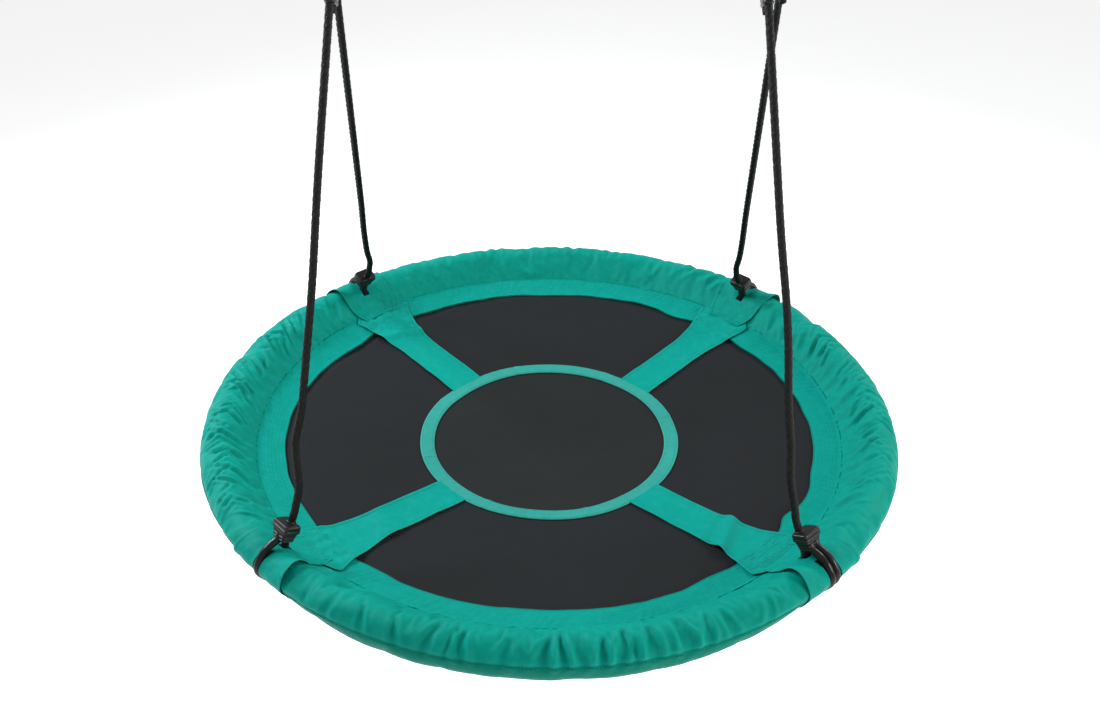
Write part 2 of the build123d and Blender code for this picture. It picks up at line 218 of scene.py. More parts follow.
def annulus_faces(rows, columns, hub=False):
    """Top and bottom sheets round the Z axis; the inside is walled, or fans to two hub points."""
    count = rows * columns
    sheet = grid_faces(rows, columns, wrap_rows=True)
    faces = sheet + [tuple(i + count for i in quad[::-1]) for quad in sheet]
    for i in range(rows):
        inner, after = i * columns, (i + 1) % rows * columns
        outer, outer_after = inner + columns - 1, after + columns - 1
        faces.append((outer, outer_after, outer_after + count, outer + count))
        if hub:
            faces.append((after, inner, 2 * count))
            faces.append((inner + count, after + count, 2 * count + 1))
        else:
            faces.append((after, inner, inner + count, after + count))
    return faces


def thick_sheet(name, points, thickness, uv, material, normals=UPWARD, mask=None):
    """Closed sheet under a grid of points; mask says which of its cells are kept."""
    rows, columns = points.shape[:2]
    top = points.reshape(-1, 3)
    verts = np.concatenate([top, top - normals.reshape(-1, 3) * thickness])
    count = rows * columns
    faces = []
    edges = {}
    for i in range(rows - 1):
        for j in range(columns - 1):
            if mask is not None and not mask[i, j]:
                continue
            near = i * columns + j
            far = near + columns
            quad = (near, far, far + 1, near + 1)
            faces.append(quad)
            faces.append(tuple(quad[k] + count for k in (0, 3, 2, 1)))
            for k in range(4):
                edges[quad[k], quad[(k + 1) % 4]] = True
    for (start, end) in edges:
        if (end, start) not in edges:
            faces.append((end, start, start + count, end + count))
    uv = uv.reshape(-1, 2)
    used = np.zeros(len(verts), bool)
    for face in faces:
        used[list(face)] = True
    renumber = np.cumsum(used) - 1
    faces = [tuple(renumber[list(face)]) for face in faces]
    return make_object(name, verts[used], faces, np.concatenate([uv, uv])[used], material)


def subdivide(made):
    """Bake one level of subdivision into the mesh."""
    modifier = made.modifiers.new("sub", "SUBSURF")
    modifier.levels = 1
    modifier.render_levels = 1
    modifier.boundary_smooth = "PRESERVE_CORNERS"
    graph = bpy.context.evaluated_depsgraph_get()
    mesh = bpy.data.meshes.new_from_object(
        made.evaluated_get(graph), preserve_all_data_layers=True, depsgraph=graph)
    coarse = made.data
    made.modifiers.clear()
    made.data = mesh
    mesh.name = made.name
    bpy.data.meshes.remove(coarse)


def face_outward(made):
    builder = bmesh.new()
    builder.from_mesh(made.data)
    bmesh.ops.recalc_face_normals(builder, faces=builder.faces)
    builder.to_mesh(made.data)
    builder.free()


def relax(points, passes):
    """Smooth a line of values in place, ends fixed."""
    for _ in range(passes):
        points[1:-1] = (points[:-2] + 2 * points[1:-1] + points[2:]) / 4
    return points


def lengths_along(points):
    steps = np.linalg.norm(np.diff(points, axis=0), axis=1)
    return np.concatenate([[0], np.cumsum(steps)])


def resample(points, step):
    """Evenly spaced points along a polyline, and their distances along it."""
    points = np.asarray(points, float)
    lengths = lengths_along(points)
    count = max(2, int(round(lengths[-1] / step)) + 1)
    even = np.linspace(0, lengths[-1], count)
    return np.stack([np.interp(even, lengths, points[:, i]) for i in range(3)], 1), even


def frames_along(points):
    """Tangents and two twist-free cross directions along a polyline."""
    tangents = np.gradient(points, axis=0)
    tangents /= np.linalg.norm(tangents, axis=1, keepdims=True)
    guide = UPWARD if abs(tangents[0][2]) < 0.9 else np.array([1.0, 0, 0])
    side = np.cross(tangents[0], guide)
    sides = [side / np.linalg.norm(side)]
    for tangent in tangents[1:]:
        side = sides[-1] - tangent * np.dot(sides[-1], tangent)
        sides.append(side / np.linalg.norm(side))
    sides = np.array(sides)
    return tangents, sides, np.cross(tangents, sides)


def tube_points(centres, sides, ups, angles, radius):
    """Rings of points round a centre line; radius may vary over (centres, angles)."""
    spokes = (np.cos(angles)[:, None] * sides[:, None, :]
              + np.sin(angles)[:, None] * ups[:, None, :])
    return centres[:, None, :] + np.asarray(radius)[..., None] * spokes


# ------------------------------------------------------------------ materials
class Shader:
    """A material's node tree with one Principled shader."""

    def __init__(self, name):
        self.material = bpy.data.materials.new(name)
        self.material.use_nodes = True
        self.tree = self.material.node_tree
        self.tree.nodes.clear()
        output = self.node("OutputMaterial")
        self.principled = self.node("BsdfPrincipled")
        self.feed(output.inputs["Surface"], self.principled.outputs["BSDF"])

    def node(self, kind, **settings):
        made = self.tree.nodes.new("ShaderNode" + kind)
        for key, value in settings.items():
            setattr(made, key, value)
        return made

    def feed(self, socket, value):
        """Link another socket, or set a number or an RGB colour."""
        if isinstance(value, bpy.types.NodeSocket):
            self.tree.links.new(value, socket)
        elif isinstance(value, tuple):
            socket.default_value = value + (1.0,)
        else:
            socket.default_value = value

    def surface(self, values):
        for key, value in values.items():
            self.feed(self.principled.inputs[key], value)

    def mix(self, factor, first, second):
        made = self.node("Mix", data_type="RGBA")
        for index, value in ((0, factor), (6, first), (7, second)):
            self.feed(made.inputs[index], value)
        return made.outputs[2]

    def remap(self, value, span, to):
        made = self.node("MapRange")
        for index, number in enumerate(span + to, 1):
            made.inputs[index].default_value = number
        self.feed(made.inputs[0], value)
        return made.outputs[0]

    def noise(self, vector, scale, detail=3.0, rough=0.5):
        made = self.node("TexNoise")
        for key, value in (("Scale", scale), ("Detail", detail), ("Roughness", rough),
                           ("Vector", vector)):
            self.feed(made.inputs[key], value)
        return made.outputs["Fac"]

    def wave(self, vector, scale, direction):
        made = self.node("TexWave", wave_type="BANDS", bands_direction=direction)
        for key, value in (("Scale", scale), ("Distortion", 0.0), ("Vector", vector)):
            self.feed(made.inputs[key], value)
        return made.outputs["Fac"]

    def multiply(self, first, second):
        made = self.node("Math", operation="MULTIPLY")
        self.feed(made.inputs[0], first)
        self.feed(made.inputs[1], second)
        return made.outputs[0]

    def coords(self, kind):
        return self.node("TexCoord").outputs[kind]

    def pointiness(self):
        return self.node("NewGeometry").outputs["Pointiness"]

    def bump(self, height, strength, distance, normal=None):
        made = self.node("Bump")
        for key, value in (("Strength", strength), ("Distance", distance), ("Height", height)):
            self.feed(made.inputs[key], value)
        if normal is not None:
            self.feed(made.inputs["Normal"], normal)
        return made.outputs["Normal"]


def srgb(*channels):
    """Linear colour from 0-255 channels."""
    def linear(value):
        value /= 255.0
        return value / 12.92 if value <= 0.04045 else ((value + 0.055) / 1.055) ** 2.4
    return tuple(linear(value) for value in channels)


def shade(colour, factor):
    return tuple(factor * value for value in colour)


def fabric(name, base, dark, light, thread=0.0013, rough=0.62, sheen=0.04, weave_bump=0.5,
           blotch=9.0, crease=0.25, specular=0.22, fine=90.0, panel=None):
    """Woven cloth. thread is its pitch, blotch and fine are noise scales, crease sets the painted
    highlight on ridges and painted shade in creases; panel is the UV height of a seam and the
    darker colour beyond it, painted shade on the underside."""
    shader = Shader(name)
    remap = shader.remap
    uv = shader.coords("UV")
    place = shader.coords("Object")
    bands = 0.31416 / thread                  # wave scale that repeats once per two threads
    weave = shader.multiply(shader.wave(uv, bands, "X"), shader.wave(uv, bands, "Y"))
    big = shader.noise(place, scale=blotch, detail=4.0, rough=0.6)
    small = shader.noise(place, scale=fine, detail=3.0, rough=0.55)
    colour = shader.mix(remap(big, span=(0.30, 0.66), to=(0.0, 1.0)), dark, base)
    colour = shader.mix(remap(small, span=(0.45, 0.75), to=(0.0, 0.22)), colour, light)
    # painted shade: beyond the outer seam the cover's underside takes a darker colour
    if panel is not None:
        seam, underside_shade_colour = panel
        split = shader.node("SeparateXYZ")
        shader.feed(split.inputs[0], uv)
        step = remap(split.outputs["Y"], span=(seam - 0.0004, seam + 0.0004), to=(0.0, 1.0))
        colour = shader.mix(step, colour, underside_shade_colour)
    # painted shade: darker colour in the weave's gaps between threads
    colour = shader.mix(remap(weave, span=(0.0, 1.0), to=(0.14, 0.0)), colour, shade(dark, 0.45))
    # painted highlight on ridges and painted shade in creases, from the surface's curvature
    curve = shader.pointiness()
    colour = shader.mix(remap(curve, span=(0.505, 0.56), to=(0.0, crease)), colour, light)
    colour = shader.mix(remap(curve, span=(0.495, 0.44), to=(0.0, crease * 1.8)),
                        colour, shade(dark, 0.5))
    shader.surface({
        "Base Color": colour,
        "Roughness": remap(small, span=(0.3, 0.7), to=(rough - 0.07, rough + 0.08)),
        "Specular IOR Level": specular,
        "Sheen Weight": sheen,
        "Sheen Roughness": 0.45,
        "Sheen Tint": tuple(min(1.0, 0.2 + 0.8 * value) for value in light)})
    lumps = shader.noise(place, scale=55.0, detail=3.0, rough=0.6)
    normal = shader.bump(lumps, strength=0.14, distance=0.003)
    normal = shader.bump(weave, strength=weave_bump, distance=0.0005, normal=normal)
    shader.surface({"Normal": normal})
    return shader.material


def plastic(name, base, rough=0.28, grain=420.0, grain_bump=0.15, specular=0.5, coat=0.15,
            edge_highlight=(0.12, 0.12, 0.12)):
    """Moulded or coated surface with fine grain and a painted highlight on its edges."""
    shader = Shader(name)
    place = shader.coords("Object")
    grains = shader.noise(place, scale=grain, detail=2.0, rough=0.5)
    patches = shader.noise(place, scale=40.0, detail=4.0, rough=0.6)
    pale = tuple(min(1, 1.8 * value + 0.004) for value in base)
    colour = shader.mix(shader.remap(patches, span=(0.35, 0.7), to=(0.0, 1.0)), base, pale)
    # painted highlight: paler colour on sharp convex edges
    edges = shader.remap(shader.pointiness(), span=(0.53, 0.62), to=(0.0, 0.45))
    shader.surface({
        "Base Color": shader.mix(edges, colour, edge_highlight),
        "Roughness": shader.remap(patches, span=(0.3, 0.7), to=(rough - 0.06, rough + 0.12)),
        "Specular IOR Level": specular,
        "Coat Weight": coat,
        "Coat Roughness": 0.2,
        "Normal": shader.bump(grains, strength=grain_bump, distance=0.0004)})
    return shader.material


def metal(name, base, rough):
    """Fine-grained metal, with painted shade in its hollows."""
    shader = Shader(name)
    place = shader.coords("Object")
    grains = shader.noise(place, scale=900.0, detail=3.0, rough=0.6)
    patches = shader.noise(place, scale=60.0, detail=4.0, rough=0.65)
    colour = shader.mix(shader.remap(patches, span=(0.35, 0.7), to=(0.0, 1.0)),
                        base, shade(base, 0.72))
    # painted shade: darker colour in the hollows
    hollow_shade = shader.remap(shader.pointiness(), span=(0.5, 0.4), to=(0.0, 0.6))
    shader.surface({
        "Base Color": shader.mix(hollow_shade, colour, shade(base, 0.35)),
        "Metallic": 1.0,
        "Roughness": shader.remap(patches, span=(0.3, 0.7), to=(rough - 0.08, rough + 0.15)),
        "Normal": shader.bump(grains, strength=0.12, distance=0.0003)})
    return shader.material


# each cloth's crease value sets its painted highlight on ridges and painted shade in creases
SEAM_UV = 0.10706                   # UV height of the rim cover's outer seam
# the rim cover is painted darker below its outer seam, painted shade on its underside
RIM_CLOTH = fabric("rim_oxford", base=srgb(0, 155, 139), dark=srgb(0, 144, 127),
                   light=srgb(40, 180, 163), thread=0.0012, blotch=4.0, rough=0.44,
                   specular=0.05, sheen=0.01, panel=(SEAM_UV, srgb(0, 130, 111)))
HEM_CLOTH = fabric("rim_border", base=srgb(0, 155, 141), dark=srgb(0, 146, 132),
                   light=srgb(34, 176, 163), thread=0.0012, blotch=4.0, crease=0.35,
                   specular=0.04, sheen=0.01)
BAND_CLOTH = fabric("corner_oxford", base=srgb(0, 155, 140), dark=srgb(0, 145, 129),
                    light=srgb(42, 180, 165), thread=0.0012, blotch=4.0, rough=0.46,
                    specular=0.05, sheen=0.01)
STRAP_CLOTH = fabric("strap_oxford", base=srgb(2, 157, 144), dark=srgb(0, 149, 135),
                     light=srgb(44, 180, 168), thread=0.0013, rough=0.55, blotch=5.0,
                     specular=0.05, sheen=0.01)
BINDING_TAPE = fabric("binding_tape", base=srgb(44, 162, 150), dark=srgb(30, 150, 138),
                      light=srgb(90, 186, 175), thread=0.0016, rough=0.72, weave_bump=0.7,
                      blotch=6.0)
MAT_WEAVE = dict(thread=0.0014, rough=0.8, sheen=0.0, weave_bump=0.3, blotch=2.5, crease=0.1,
                 specular=0.12, fine=200.0)
MAT_CLOTH = fabric("mat_fabric", base=srgb(34, 36, 38), dark=srgb(31, 33, 34),
                   light=srgb(46, 49, 50), **MAT_WEAVE)
CENTRE_CLOTH = fabric("mat_centre_fabric", base=srgb(36, 39, 39), dark=srgb(32, 35, 35),
                      light=srgb(48, 51, 51), **MAT_WEAVE)
THREAD = fabric("stitch_thread", base=srgb(8, 152, 136), dark=srgb(0, 136, 120),
                light=srgb(60, 184, 168), thread=0.0006, rough=0.6, crease=0.1)
# the rope's high crease value paints a highlight on its braid's ridges and shade in its grooves
ROPE = fabric("braided_rope", base=srgb(12, 11, 10), dark=srgb(5, 5, 5),
              light=srgb(46, 44, 42), thread=0.0009, rough=0.5, sheen=0.0, weave_bump=0.5,
              blotch=30.0, crease=0.8, specular=0.28, fine=300.0)
HOSE = plastic("rope_hose", base=srgb(10, 9, 9), rough=0.32, grain_bump=0.05, coat=0.10,
               specular=0.3, edge_highlight=srgb(36, 34, 33))
CLAMP = plastic("moulded_clamp", base=srgb(11, 10, 11), rough=0.36, coat=0.08,
                specular=0.3, edge_highlight=srgb(60, 59, 58))
STEEL = metal("zinc_hardware", base=(0.62, 0.63, 0.64), rough=0.32)
FRAME_COAT = plastic("powder_coat", base=(0.02, 0.02, 0.022), rough=0.45, grain=700.0,
                     grain_bump=0.35)
FOAM = fabric("closed_cell_foam", base=(0.05, 0.05, 0.055), dark=(0.03, 0.03, 0.032),
              light=(0.09, 0.09, 0.095), thread=0.003, rough=0.9, sheen=0.0)

# ------------------------------------------------------------------ stitching
# dash pitch, length, width, height
RIM_STITCH = (0.0052, 0.0036, 0.0009, 0.0005)
HEM_STITCH = (0.0046, 0.0031, 0.0007, 0.0003)
BINDING_STITCH = (0.0044, 0.0030, 0.0008, 0.0004)
STRAP_STITCH = (0.0046, 0.0031, 0.0008, 0.0005)
BAND_EDGE_STITCH = (0.0048, 0.0032, 0.0009, 0.0005)
BAND_CROSS_STITCH = (0.0046, 0.0031, 0.0009, 0.0005)


def sew(name, slot, runs):
    """One mesh of closed thread dashes. Each run is (path, normals, stitch)."""
    verts, faces = [], []
    for path, normals, (pitch, length, width, height) in runs:
        normals = np.broadcast_to(normals, path.shape)
        lengths = lengths_along(path)

        def sample(values, distance):
            return np.array([np.interp(distance, lengths, values[:, i]) for i in range(3)])

        for k in range(max(1, int(lengths[-1] / pitch))):
            begin = (k + 0.15) * pitch
            stop = begin + length
            if stop > lengths[-1]:
                break
            start, end = sample(path, begin), sample(path, stop)
            normal = sample(normals, (begin + stop) / 2)
            normal /= np.linalg.norm(normal)
            direction = end - start
            direction /= np.linalg.norm(direction)
            side = np.cross(normal, direction) * width / 2
            sink = -normal * 0.0004
            taper = direction * length * 0.22
            base = len(verts)
            verts += [start - side + sink, start + side + sink,
                      end + side + sink, end - side + sink,
                      start + taper + normal * height, end - taper + normal * height]
            faces += [tuple(base + i for i in face) for face in (
                (0, 1, 2, 3), (0, 3, 5, 4), (1, 4, 5, 2), (0, 4, 1), (3, 2, 5))]
    attach(make_object(name, verts, faces, None, THREAD), slot)


# ------------------------------------------------------------------ rim cover: section
SLOPE_STEPS, CROWN_STEPS, UNDER_STEPS = 14, 15, 17
SEAM_COLUMN = SLOPE_STEPS + CROWN_STEPS               # the outer seam's column
ROUND_COLUMNS = slice(SLOPE_STEPS, SEAM_COLUMN + UNDER_STEPS)


def arc_row(degrees):
    """Radius, height and the two parts of the normal on the round cover."""
    angle = math.radians(degrees)
    out, rise = math.cos(angle), math.sin(angle)
    return np.array([RIM + COVER_R * out, COVER_R * rise, out, rise])


def rim_section():
    """Section from the inner seam over the crown to the outer seam and back underneath.
    Columns: radius, height, normal outward, normal upward."""
    seam_top = np.array([SEAM_R, SEAM_Z + 0.0006])
    seam_low = np.array([SEAM_R, SEAM_Z - 0.0010])
    upper, lower = arc_row(UPPER_TANGENT), arc_row(LOWER_TANGENT)
    rows = []
    for k in range(SLOPE_STEPS):
        point = seam_top + (upper[:2] - seam_top) * (k / SLOPE_STEPS)
        rows.append([*point, *upper[2:]])
    for start, end, steps in ((UPPER_TANGENT, SEAM_ANGLE, CROWN_STEPS),
                              (SEAM_ANGLE, LOWER_TANGENT - 360, UNDER_STEPS)):
        for k in range(steps):
            rows.append(arc_row(start + (end - start) * (k / steps)))
    for k in range(SLOPE_STEPS + 1):
        point = lower[:2] + (seam_low - lower[:2]) * (k / SLOPE_STEPS)
        rows.append([*point, *lower[2:]])
    return np.array(rows)


SECTION = rim_section()
SECTION_S = lengths_along(SECTION[:, :2])
SEAM_S = SECTION_S[SEAM_COLUMN]
END_S = SECTION_S[-1]


# ------------------------------------------------------------------ rim cover: folds
# Folds are laid out over x, the distance along the rim, and girth, the distance round the
# section from the inner seam. Their heights are outward.
# side: random seed, cloth shrink factor, share of the cloth's movement that is kept
RIM_CLOTHS = {"front": (11, -0.045, 0.95), "right": (23, -0.045, 0.90),
              "back": (37, -0.035, 0.42), "left": (51, -0.050, 0.90)}

FRONT_FOLDS = [  # x, lean along the rim, apex depth, width at the seam, height
    (0.120, 0.010, 0.50, 0.0055, 0.0011), (0.175, -0.008, 0.42, 0.0050, 0.0012),
    (0.222, -0.012, 0.46, 0.0060, 0.0016), (0.257, 0.016, 0.55, 0.0070, 0.0021),
    (0.287, 0.010, 0.60, 0.0060, 0.0022), (0.304, -0.002, 0.42, 0.0075, 0.0036),
    (0.352, 0.012, 0.40, 0.0080, 0.0016), (0.400, 0.010, 0.44, 0.0095, 0.0024),
    (0.427, -0.004, 0.46, 0.0070, 0.0036), (0.449, -0.009, 0.50, 0.0090, 0.0024),
    (0.472, 0.003, 0.40, 0.0065, 0.0036), (0.493, 0.010, 0.52, 0.0070, 0.0040),
    (0.512, -0.014, 0.54, 0.0075, 0.0024), (0.534, 0.001, 0.50, 0.0085, 0.0040),
    (0.579, -0.011, 0.58, 0.0090, 0.0038), (0.602, 0.012, 0.52, 0.0065, 0.0024),
    (0.640, -0.010, 0.44, 0.0060, 0.0015), (0.690, 0.010, 0.40, 0.0060, 0.0012)]
FRONT_HEIGHT_GAIN, FRONT_WIDTH_GAIN = 1.7, 1.2

BACK_FOLDS = [  # x, start as a share of the seam's girth, lean, length, height
    (0.075, 0.35, 0.030, 0.050, 0.0034), (0.105, 0.42, 0.036, 0.045, 0.0028),
    (0.140, 0.38, 0.030, 0.042, 0.0022)]


def crease(x, girth, start, end, widths, height, dome=0.6, blur=0.0012):
    """A pinched valley from start to end, each (x, girth), with a ridge at either side."""
    run_x, run_girth = end[0] - start[0], end[1] - start[1]
    square = run_x * run_x + run_girth * run_girth
    length = math.sqrt(square)
    from_x, from_girth = x - start[0], girth - start[1]
    dot = from_x * run_x + from_girth * run_girth
    share = np.clip(dot / square, 0, 1)
    side = (from_x * run_girth - from_girth * run_x) / length
    along = dot / length
    past = np.maximum(np.maximum(-along, along - length), 0)
    width = widths[0] + (widths[1] - widths[0]) * share
    away = np.sqrt(side ** 2 + blur ** 2) - blur
    fade = (smooth(share + 0.02, 0.0, 0.35) * (1 - 0.35 * smooth(share, 0.75, 1.0))
            * bell(past, 0, 0.006))
    valley = -np.clip(1 - away / width, 0, 1) ** 1.3
    ridge = np.clip(1 - np.abs(away - 1.35 * width) / (0.9 * width), 0, 1)
    ridge = ridge * ridge * (3 - 2 * ridge)
    return height * fade * (valley + dome * ridge)


def front_folds(x, girth, random):
    total = np.zeros_like(x)
    for place, lean, depth, width, height in FRONT_FOLDS:
        width *= FRONT_WIDTH_GAIN
        total += crease(x, girth, start=(place + lean, SEAM_S * (1 - depth * 0.86)),
                        end=(place, SEAM_S * 0.985), widths=(width * 0.55, width),
                        height=height * FRONT_HEIGHT_GAIN)
    place = 0.05
    while place < x.max() - 0.05:                      # small gathers above them
        begin = SEAM_S * (0.42 + 0.2 * random.rand())
        end = (place + 0.010 * (random.rand() - 0.5), begin + 0.022)
        total += crease(x, girth, start=(place, begin), end=end, widths=(0.003, 0.004),
                        height=0.0009 * (0.5 + random.rand()), dome=0.7)
        place += 0.013 * (0.6 + random.rand())
    return total


def back_folds(x, girth, random):
    total = np.zeros_like(x)
    place = 0.05
    while place < x.max() - 0.05:                      # shallow pulls across the crown
        begin = SEAM_S * (0.30 + 0.22 * random.rand())
        length = 0.028 + 0.022 * random.rand()
        end = (place + 0.018 * (random.rand() - 0.5), begin + length)
        total += crease(x, girth, start=(place, begin), end=end, widths=(0.0055, 0.008),
                        height=0.0015 * (0.35 + 1.0 * random.rand()), dome=0.7)
        place += 0.030 * (0.6 + 0.8 * random.rand())
    for place, share, lean, length, height in BACK_FOLDS:
        begin = SEAM_S * share
        total += crease(x, girth, start=(place, begin), end=(place - lean, begin + length),
                        widths=(0.007, 0.008), height=height, dome=0.8)
    return total


def flank_folds(side, x, girth, random):
    """Gathers that lean forwards from the outer seam of the left or right cover."""
    total = np.zeros_like(x)
    length = x.max()
    left = side == "left"
    forward = 1.0 if left else -1.0                    # towards the front along x
    gain = 1.0 if left else 0.95
    spacing = 0.011 if left else 0.0125
    place = 0.045
    while place < length - 0.045:
        share = place / length
        nearness = share if left else 1 - share        # 0 at the back corner, 1 at the front
        if left:
            live = smooth(nearness, 0.05, 0.25) * (1 - 0.55 * smooth(nearness, 0.75, 0.95))
        else:
            live = smooth(nearness, 0.06, 0.3) * (1 - 0.8 * smooth(nearness, 0.62, 0.78))
        foot = SEAM_S * (0.66 + 0.16 * (random.rand() - 0.5) * 2)
        reach_in = 0.020 + 0.024 * random.rand()
        reach_out = 0.013 + 0.016 * random.rand()
        height = 0.0034 * gain * live * (0.45 + 0.9 * random.rand())
        lean = 0.55 + 0.45 * random.rand()
        width = 0.0030 * (0.8 + 0.6 * random.rand())
        if random.rand() < 0.85:
            total += crease(x, girth, start=(place + forward * lean * reach_in, foot - reach_in),
                            end=(place, foot), widths=(width * 1.5, width), height=height,
                            dome=0.8)
        if random.rand() < 0.8:
            total += crease(x, girth, start=(place + forward * 0.7 * reach_out, foot + reach_out),
                            end=(place, foot + 0.001), widths=(width * 1.3, width),
                            height=height * 0.95, dome=0.8)
        place += spacing * (0.55 + 0.9 * random.rand())
    place = 0.06
    while place < length - 0.06:                       # broad soft pulls on the inner slope
        begin = SEAM_S * (0.10 + 0.10 * random.rand())
        pull = 0.035 + 0.02 * random.rand()
        total += crease(x, girth, start=(place + forward * 0.7 * pull, begin),
                        end=(place, begin + pull), widths=(0.010, 0.008),
                        height=0.0016 * (0.4 + random.rand()), dome=0.8, blur=0.003)
        place += 0.045 * (0.6 + 0.8 * random.rand())
    return total


def fold_field(side, x, girth):
    """Outward height of every fold above the seam, with soft unevenness below it."""
    random = random_from(RIM_CLOTHS[side][0])
    if side == "front":
        total = front_folds(x, girth, random)
    elif side == "back":
        total = back_folds(x, girth, random)
    else:
        total = flank_folds(side, x, girth, random)
    total += 0.0005 * clouds(x, girth, 7 + len(side), 0.060, 3)
    below = smooth(girth, SEAM_S, SEAM_S + 0.02) * (1 - smooth(girth, END_S - 0.03, END_S))
    soft = 0.0006 * clouds(x * 0.8, girth * 0.6, 91 + len(side), 0.06, 2)
    return total * (1 - smooth(girth, SEAM_S, SEAM_S + 0.009)) + below * soft


# ------------------------------------------------------------------ rim cover: cloth and mesh
RIM_STATIONS = 262
RIM_GAP, WIDE_GAP = 0.74, 1.32      # degrees left free at a corner; wide at the front right
CLOTH_FRAMES = 20
CLOTH_SETTINGS = dict(
    quality=4, mass=0.12, tension_stiffness=14.0, compression_stiffness=14.0,
    shear_stiffness=4.0, bending_stiffness=3.0, tension_damping=8, compression_damping=8,
    shear_damping=6, air_damping=2.0, vertex_group_mass="pin", use_pressure=True,
    uniform_pressure_force=2.5)


def run_cloth(name, points, faces, pinned, shrink):
    """Where the points go when they are simulated as pressurised cloth."""
    cloth = make_object(name, points.reshape(-1, 3), faces)
    group = cloth.vertex_groups.new(name="pin")
    group.add([int(i) for i in np.nonzero(pinned.reshape(-1))[0]], 1.0, "REPLACE")
    modifier = cloth.modifiers.new("Cloth", "CLOTH")
    for key, value in CLOTH_SETTINGS.items():
        setattr(modifier.settings, key, value)
    modifier.settings.shrink_min = shrink
    modifier.settings.effector_weights.gravity = 0.0
    modifier.collision_settings.use_collision = False
    modifier.collision_settings.use_self_collision = False
    scene.frame_start, scene.frame_end = 1, CLOTH_FRAMES
    modifier.point_cache.frame_start, modifier.point_cache.frame_end = 1, CLOTH_FRAMES
    for number in range(1, CLOTH_FRAMES + 1):
        scene.frame_set(number)
    graph = bpy.context.evaluated_depsgraph_get()
    result = cloth.evaluated_get(graph).to_mesh()
    settled = np.zeros(len(result.vertices) * 3, dtype=np.float32)
    result.vertices.foreach_get("co", settled)
    cloth.evaluated_get(graph).to_mesh_clear()
    cloth.modifiers.clear()
    scene.frame_set(1)
    mesh = cloth.data
    bpy.data.objects.remove(cloth)
    bpy.data.meshes.remove(mesh)
    settled = settled.astype(float).reshape(points.shape)
    settled[..., 2] -= LIFT
    return settled


def settle(side, points, faces, girth, clear):
    """Move the cover part of the way to its simulated shape; clear is 0 under the bands."""
    pinned = np.zeros(girth.shape, bool)
    for edge in (slice(None, 2), slice(-2, None), SEAM_COLUMN):
        pinned[:, edge] = True
    for edge in (slice(None, 3), slice(-3, None)):
        pinned[edge, :] = True
    _, shrink, kept = RIM_CLOTHS[side]
    move = run_cloth("rim_cover_mesh_" + side, points, faces, pinned, shrink) - points
    size = np.linalg.norm(move, axis=-1, keepdims=True)
    move = move * np.minimum(1, 0.006 / np.maximum(size, 1e-9))
    soft = move.copy()
    soft[1:-1, 1:-1] = 0.5 * move[1:-1, 1:-1] + 0.125 * (
        move[2:, 1:-1] + move[:-2, 1:-1] + move[1:-1, 2:] + move[1:-1, :-2])
    kept = kept * (1 - 0.4 * smooth(np.clip(girth / SEAM_S, 0, 1), 0.80, 0.98))
    kept = kept * (1 - 0.55 * smooth(girth, SEAM_S, SEAM_S + 0.010))
    return points + soft * ((0.10 + 0.90 * clear) * kept)[..., None]


def limit_cover(points, x):
    """Keep the round part between the foam and the size limit, and pinch the corners."""
    out = np.hypot(points[..., 0], points[..., 1]) - RIM
    rise = points[..., 2]
    angle = np.arctan2(points[..., 1], points[..., 0])
    size = np.hypot(out, rise)
    limited = size.copy()
    limited[:, ROUND_COLUMNS] = np.clip(size[:, ROUND_COLUMNS], 0.0262, 0.0355)
    corner_distance = np.minimum(x, x.max() - x)
    scale = limited / np.maximum(size, 1e-9) * pinch(
        np.degrees(np.arctan2(rise, out)), corner_distance)
    return polar(RIM + out * scale, angle, rise * scale)


def build_rim(side, start):
    gap_start = WIDE_GAP if side == "right" else RIM_GAP
    gap_end = WIDE_GAP if side == "front" else RIM_GAP
    first, last = math.radians(start + gap_start), math.radians(start + 90 - gap_end)
    angle = np.linspace(first, last, RIM_STATIONS)
    columns = len(SECTION)
    x, girth = np.meshgrid((angle - first) * RIM, SECTION_S, indexing="ij")
    # flat under the corner bands
    clear = smooth(x, 0.036, 0.070) * smooth(x.max() - x, 0.036, 0.070)
    fold = (fold_field(side, x, girth) * clear * smooth(girth, 0.0, 0.012)
            * smooth(END_S - girth, 0.0, 0.012))
    seam = bell(girth, SEAM_S, 0.0022)
    # the upper panel laps over the lower one at the seam
    lap = (0.0011 * smooth(girth, SEAM_S - 0.010, SEAM_S - 0.0035)
           * (1 - smooth(girth, SEAM_S - 0.0012, SEAM_S + 0.0008)))
    offset = fold * (1 - 0.6 * seam) + (lap - 0.0017 * seam) * (0.3 + 0.7 * clear)
    points = polar(SECTION[:, 0] + SECTION[:, 2] * offset, angle[:, None],
                   SECTION[:, 1] + SECTION[:, 3] * offset)
    faces = grid_faces(RIM_STATIONS, columns)
    for i in range(RIM_STATIONS - 1):                  # close the section at the inner seam
        near, far = i * columns, (i + 1) * columns
        faces.append((near + columns - 1, near, far, far + columns - 1))
    points = settle(side, points, faces, girth, clear)
    points = limit_cover(points, x)
    for ring in (0, RIM_STATIONS - 1):                 # end caps
        faces.append(tuple(ring * columns + j for j in reversed(range(columns))))
    cover = make_object("rim_cover_mesh_" + side, points.reshape(-1, 3), faces,
                        stack_last(x, girth).reshape(-1, 2), RIM_CLOTH)
    face_outward(cover)
    subdivide(cover)
    attach(cover, "rim_fabric", "rim_cover_" + side, "foam_sleeve_" + side)
    # thread just below the outer seam
    column = int(np.argmin(np.abs(SECTION_S - (SEAM_S + 0.0042))))
    path = points[6:-6, column]
    normals = path - polar(RIM, angle[6:-6], 0.0)
    normals /= np.linalg.norm(normals, axis=1, keepdims=True)
    sew("rim_seam_thread_" + side, "rim_fabric", [(path, normals, RIM_STITCH)])


for side, start in SIDES.items():
    build_rim(side, start)

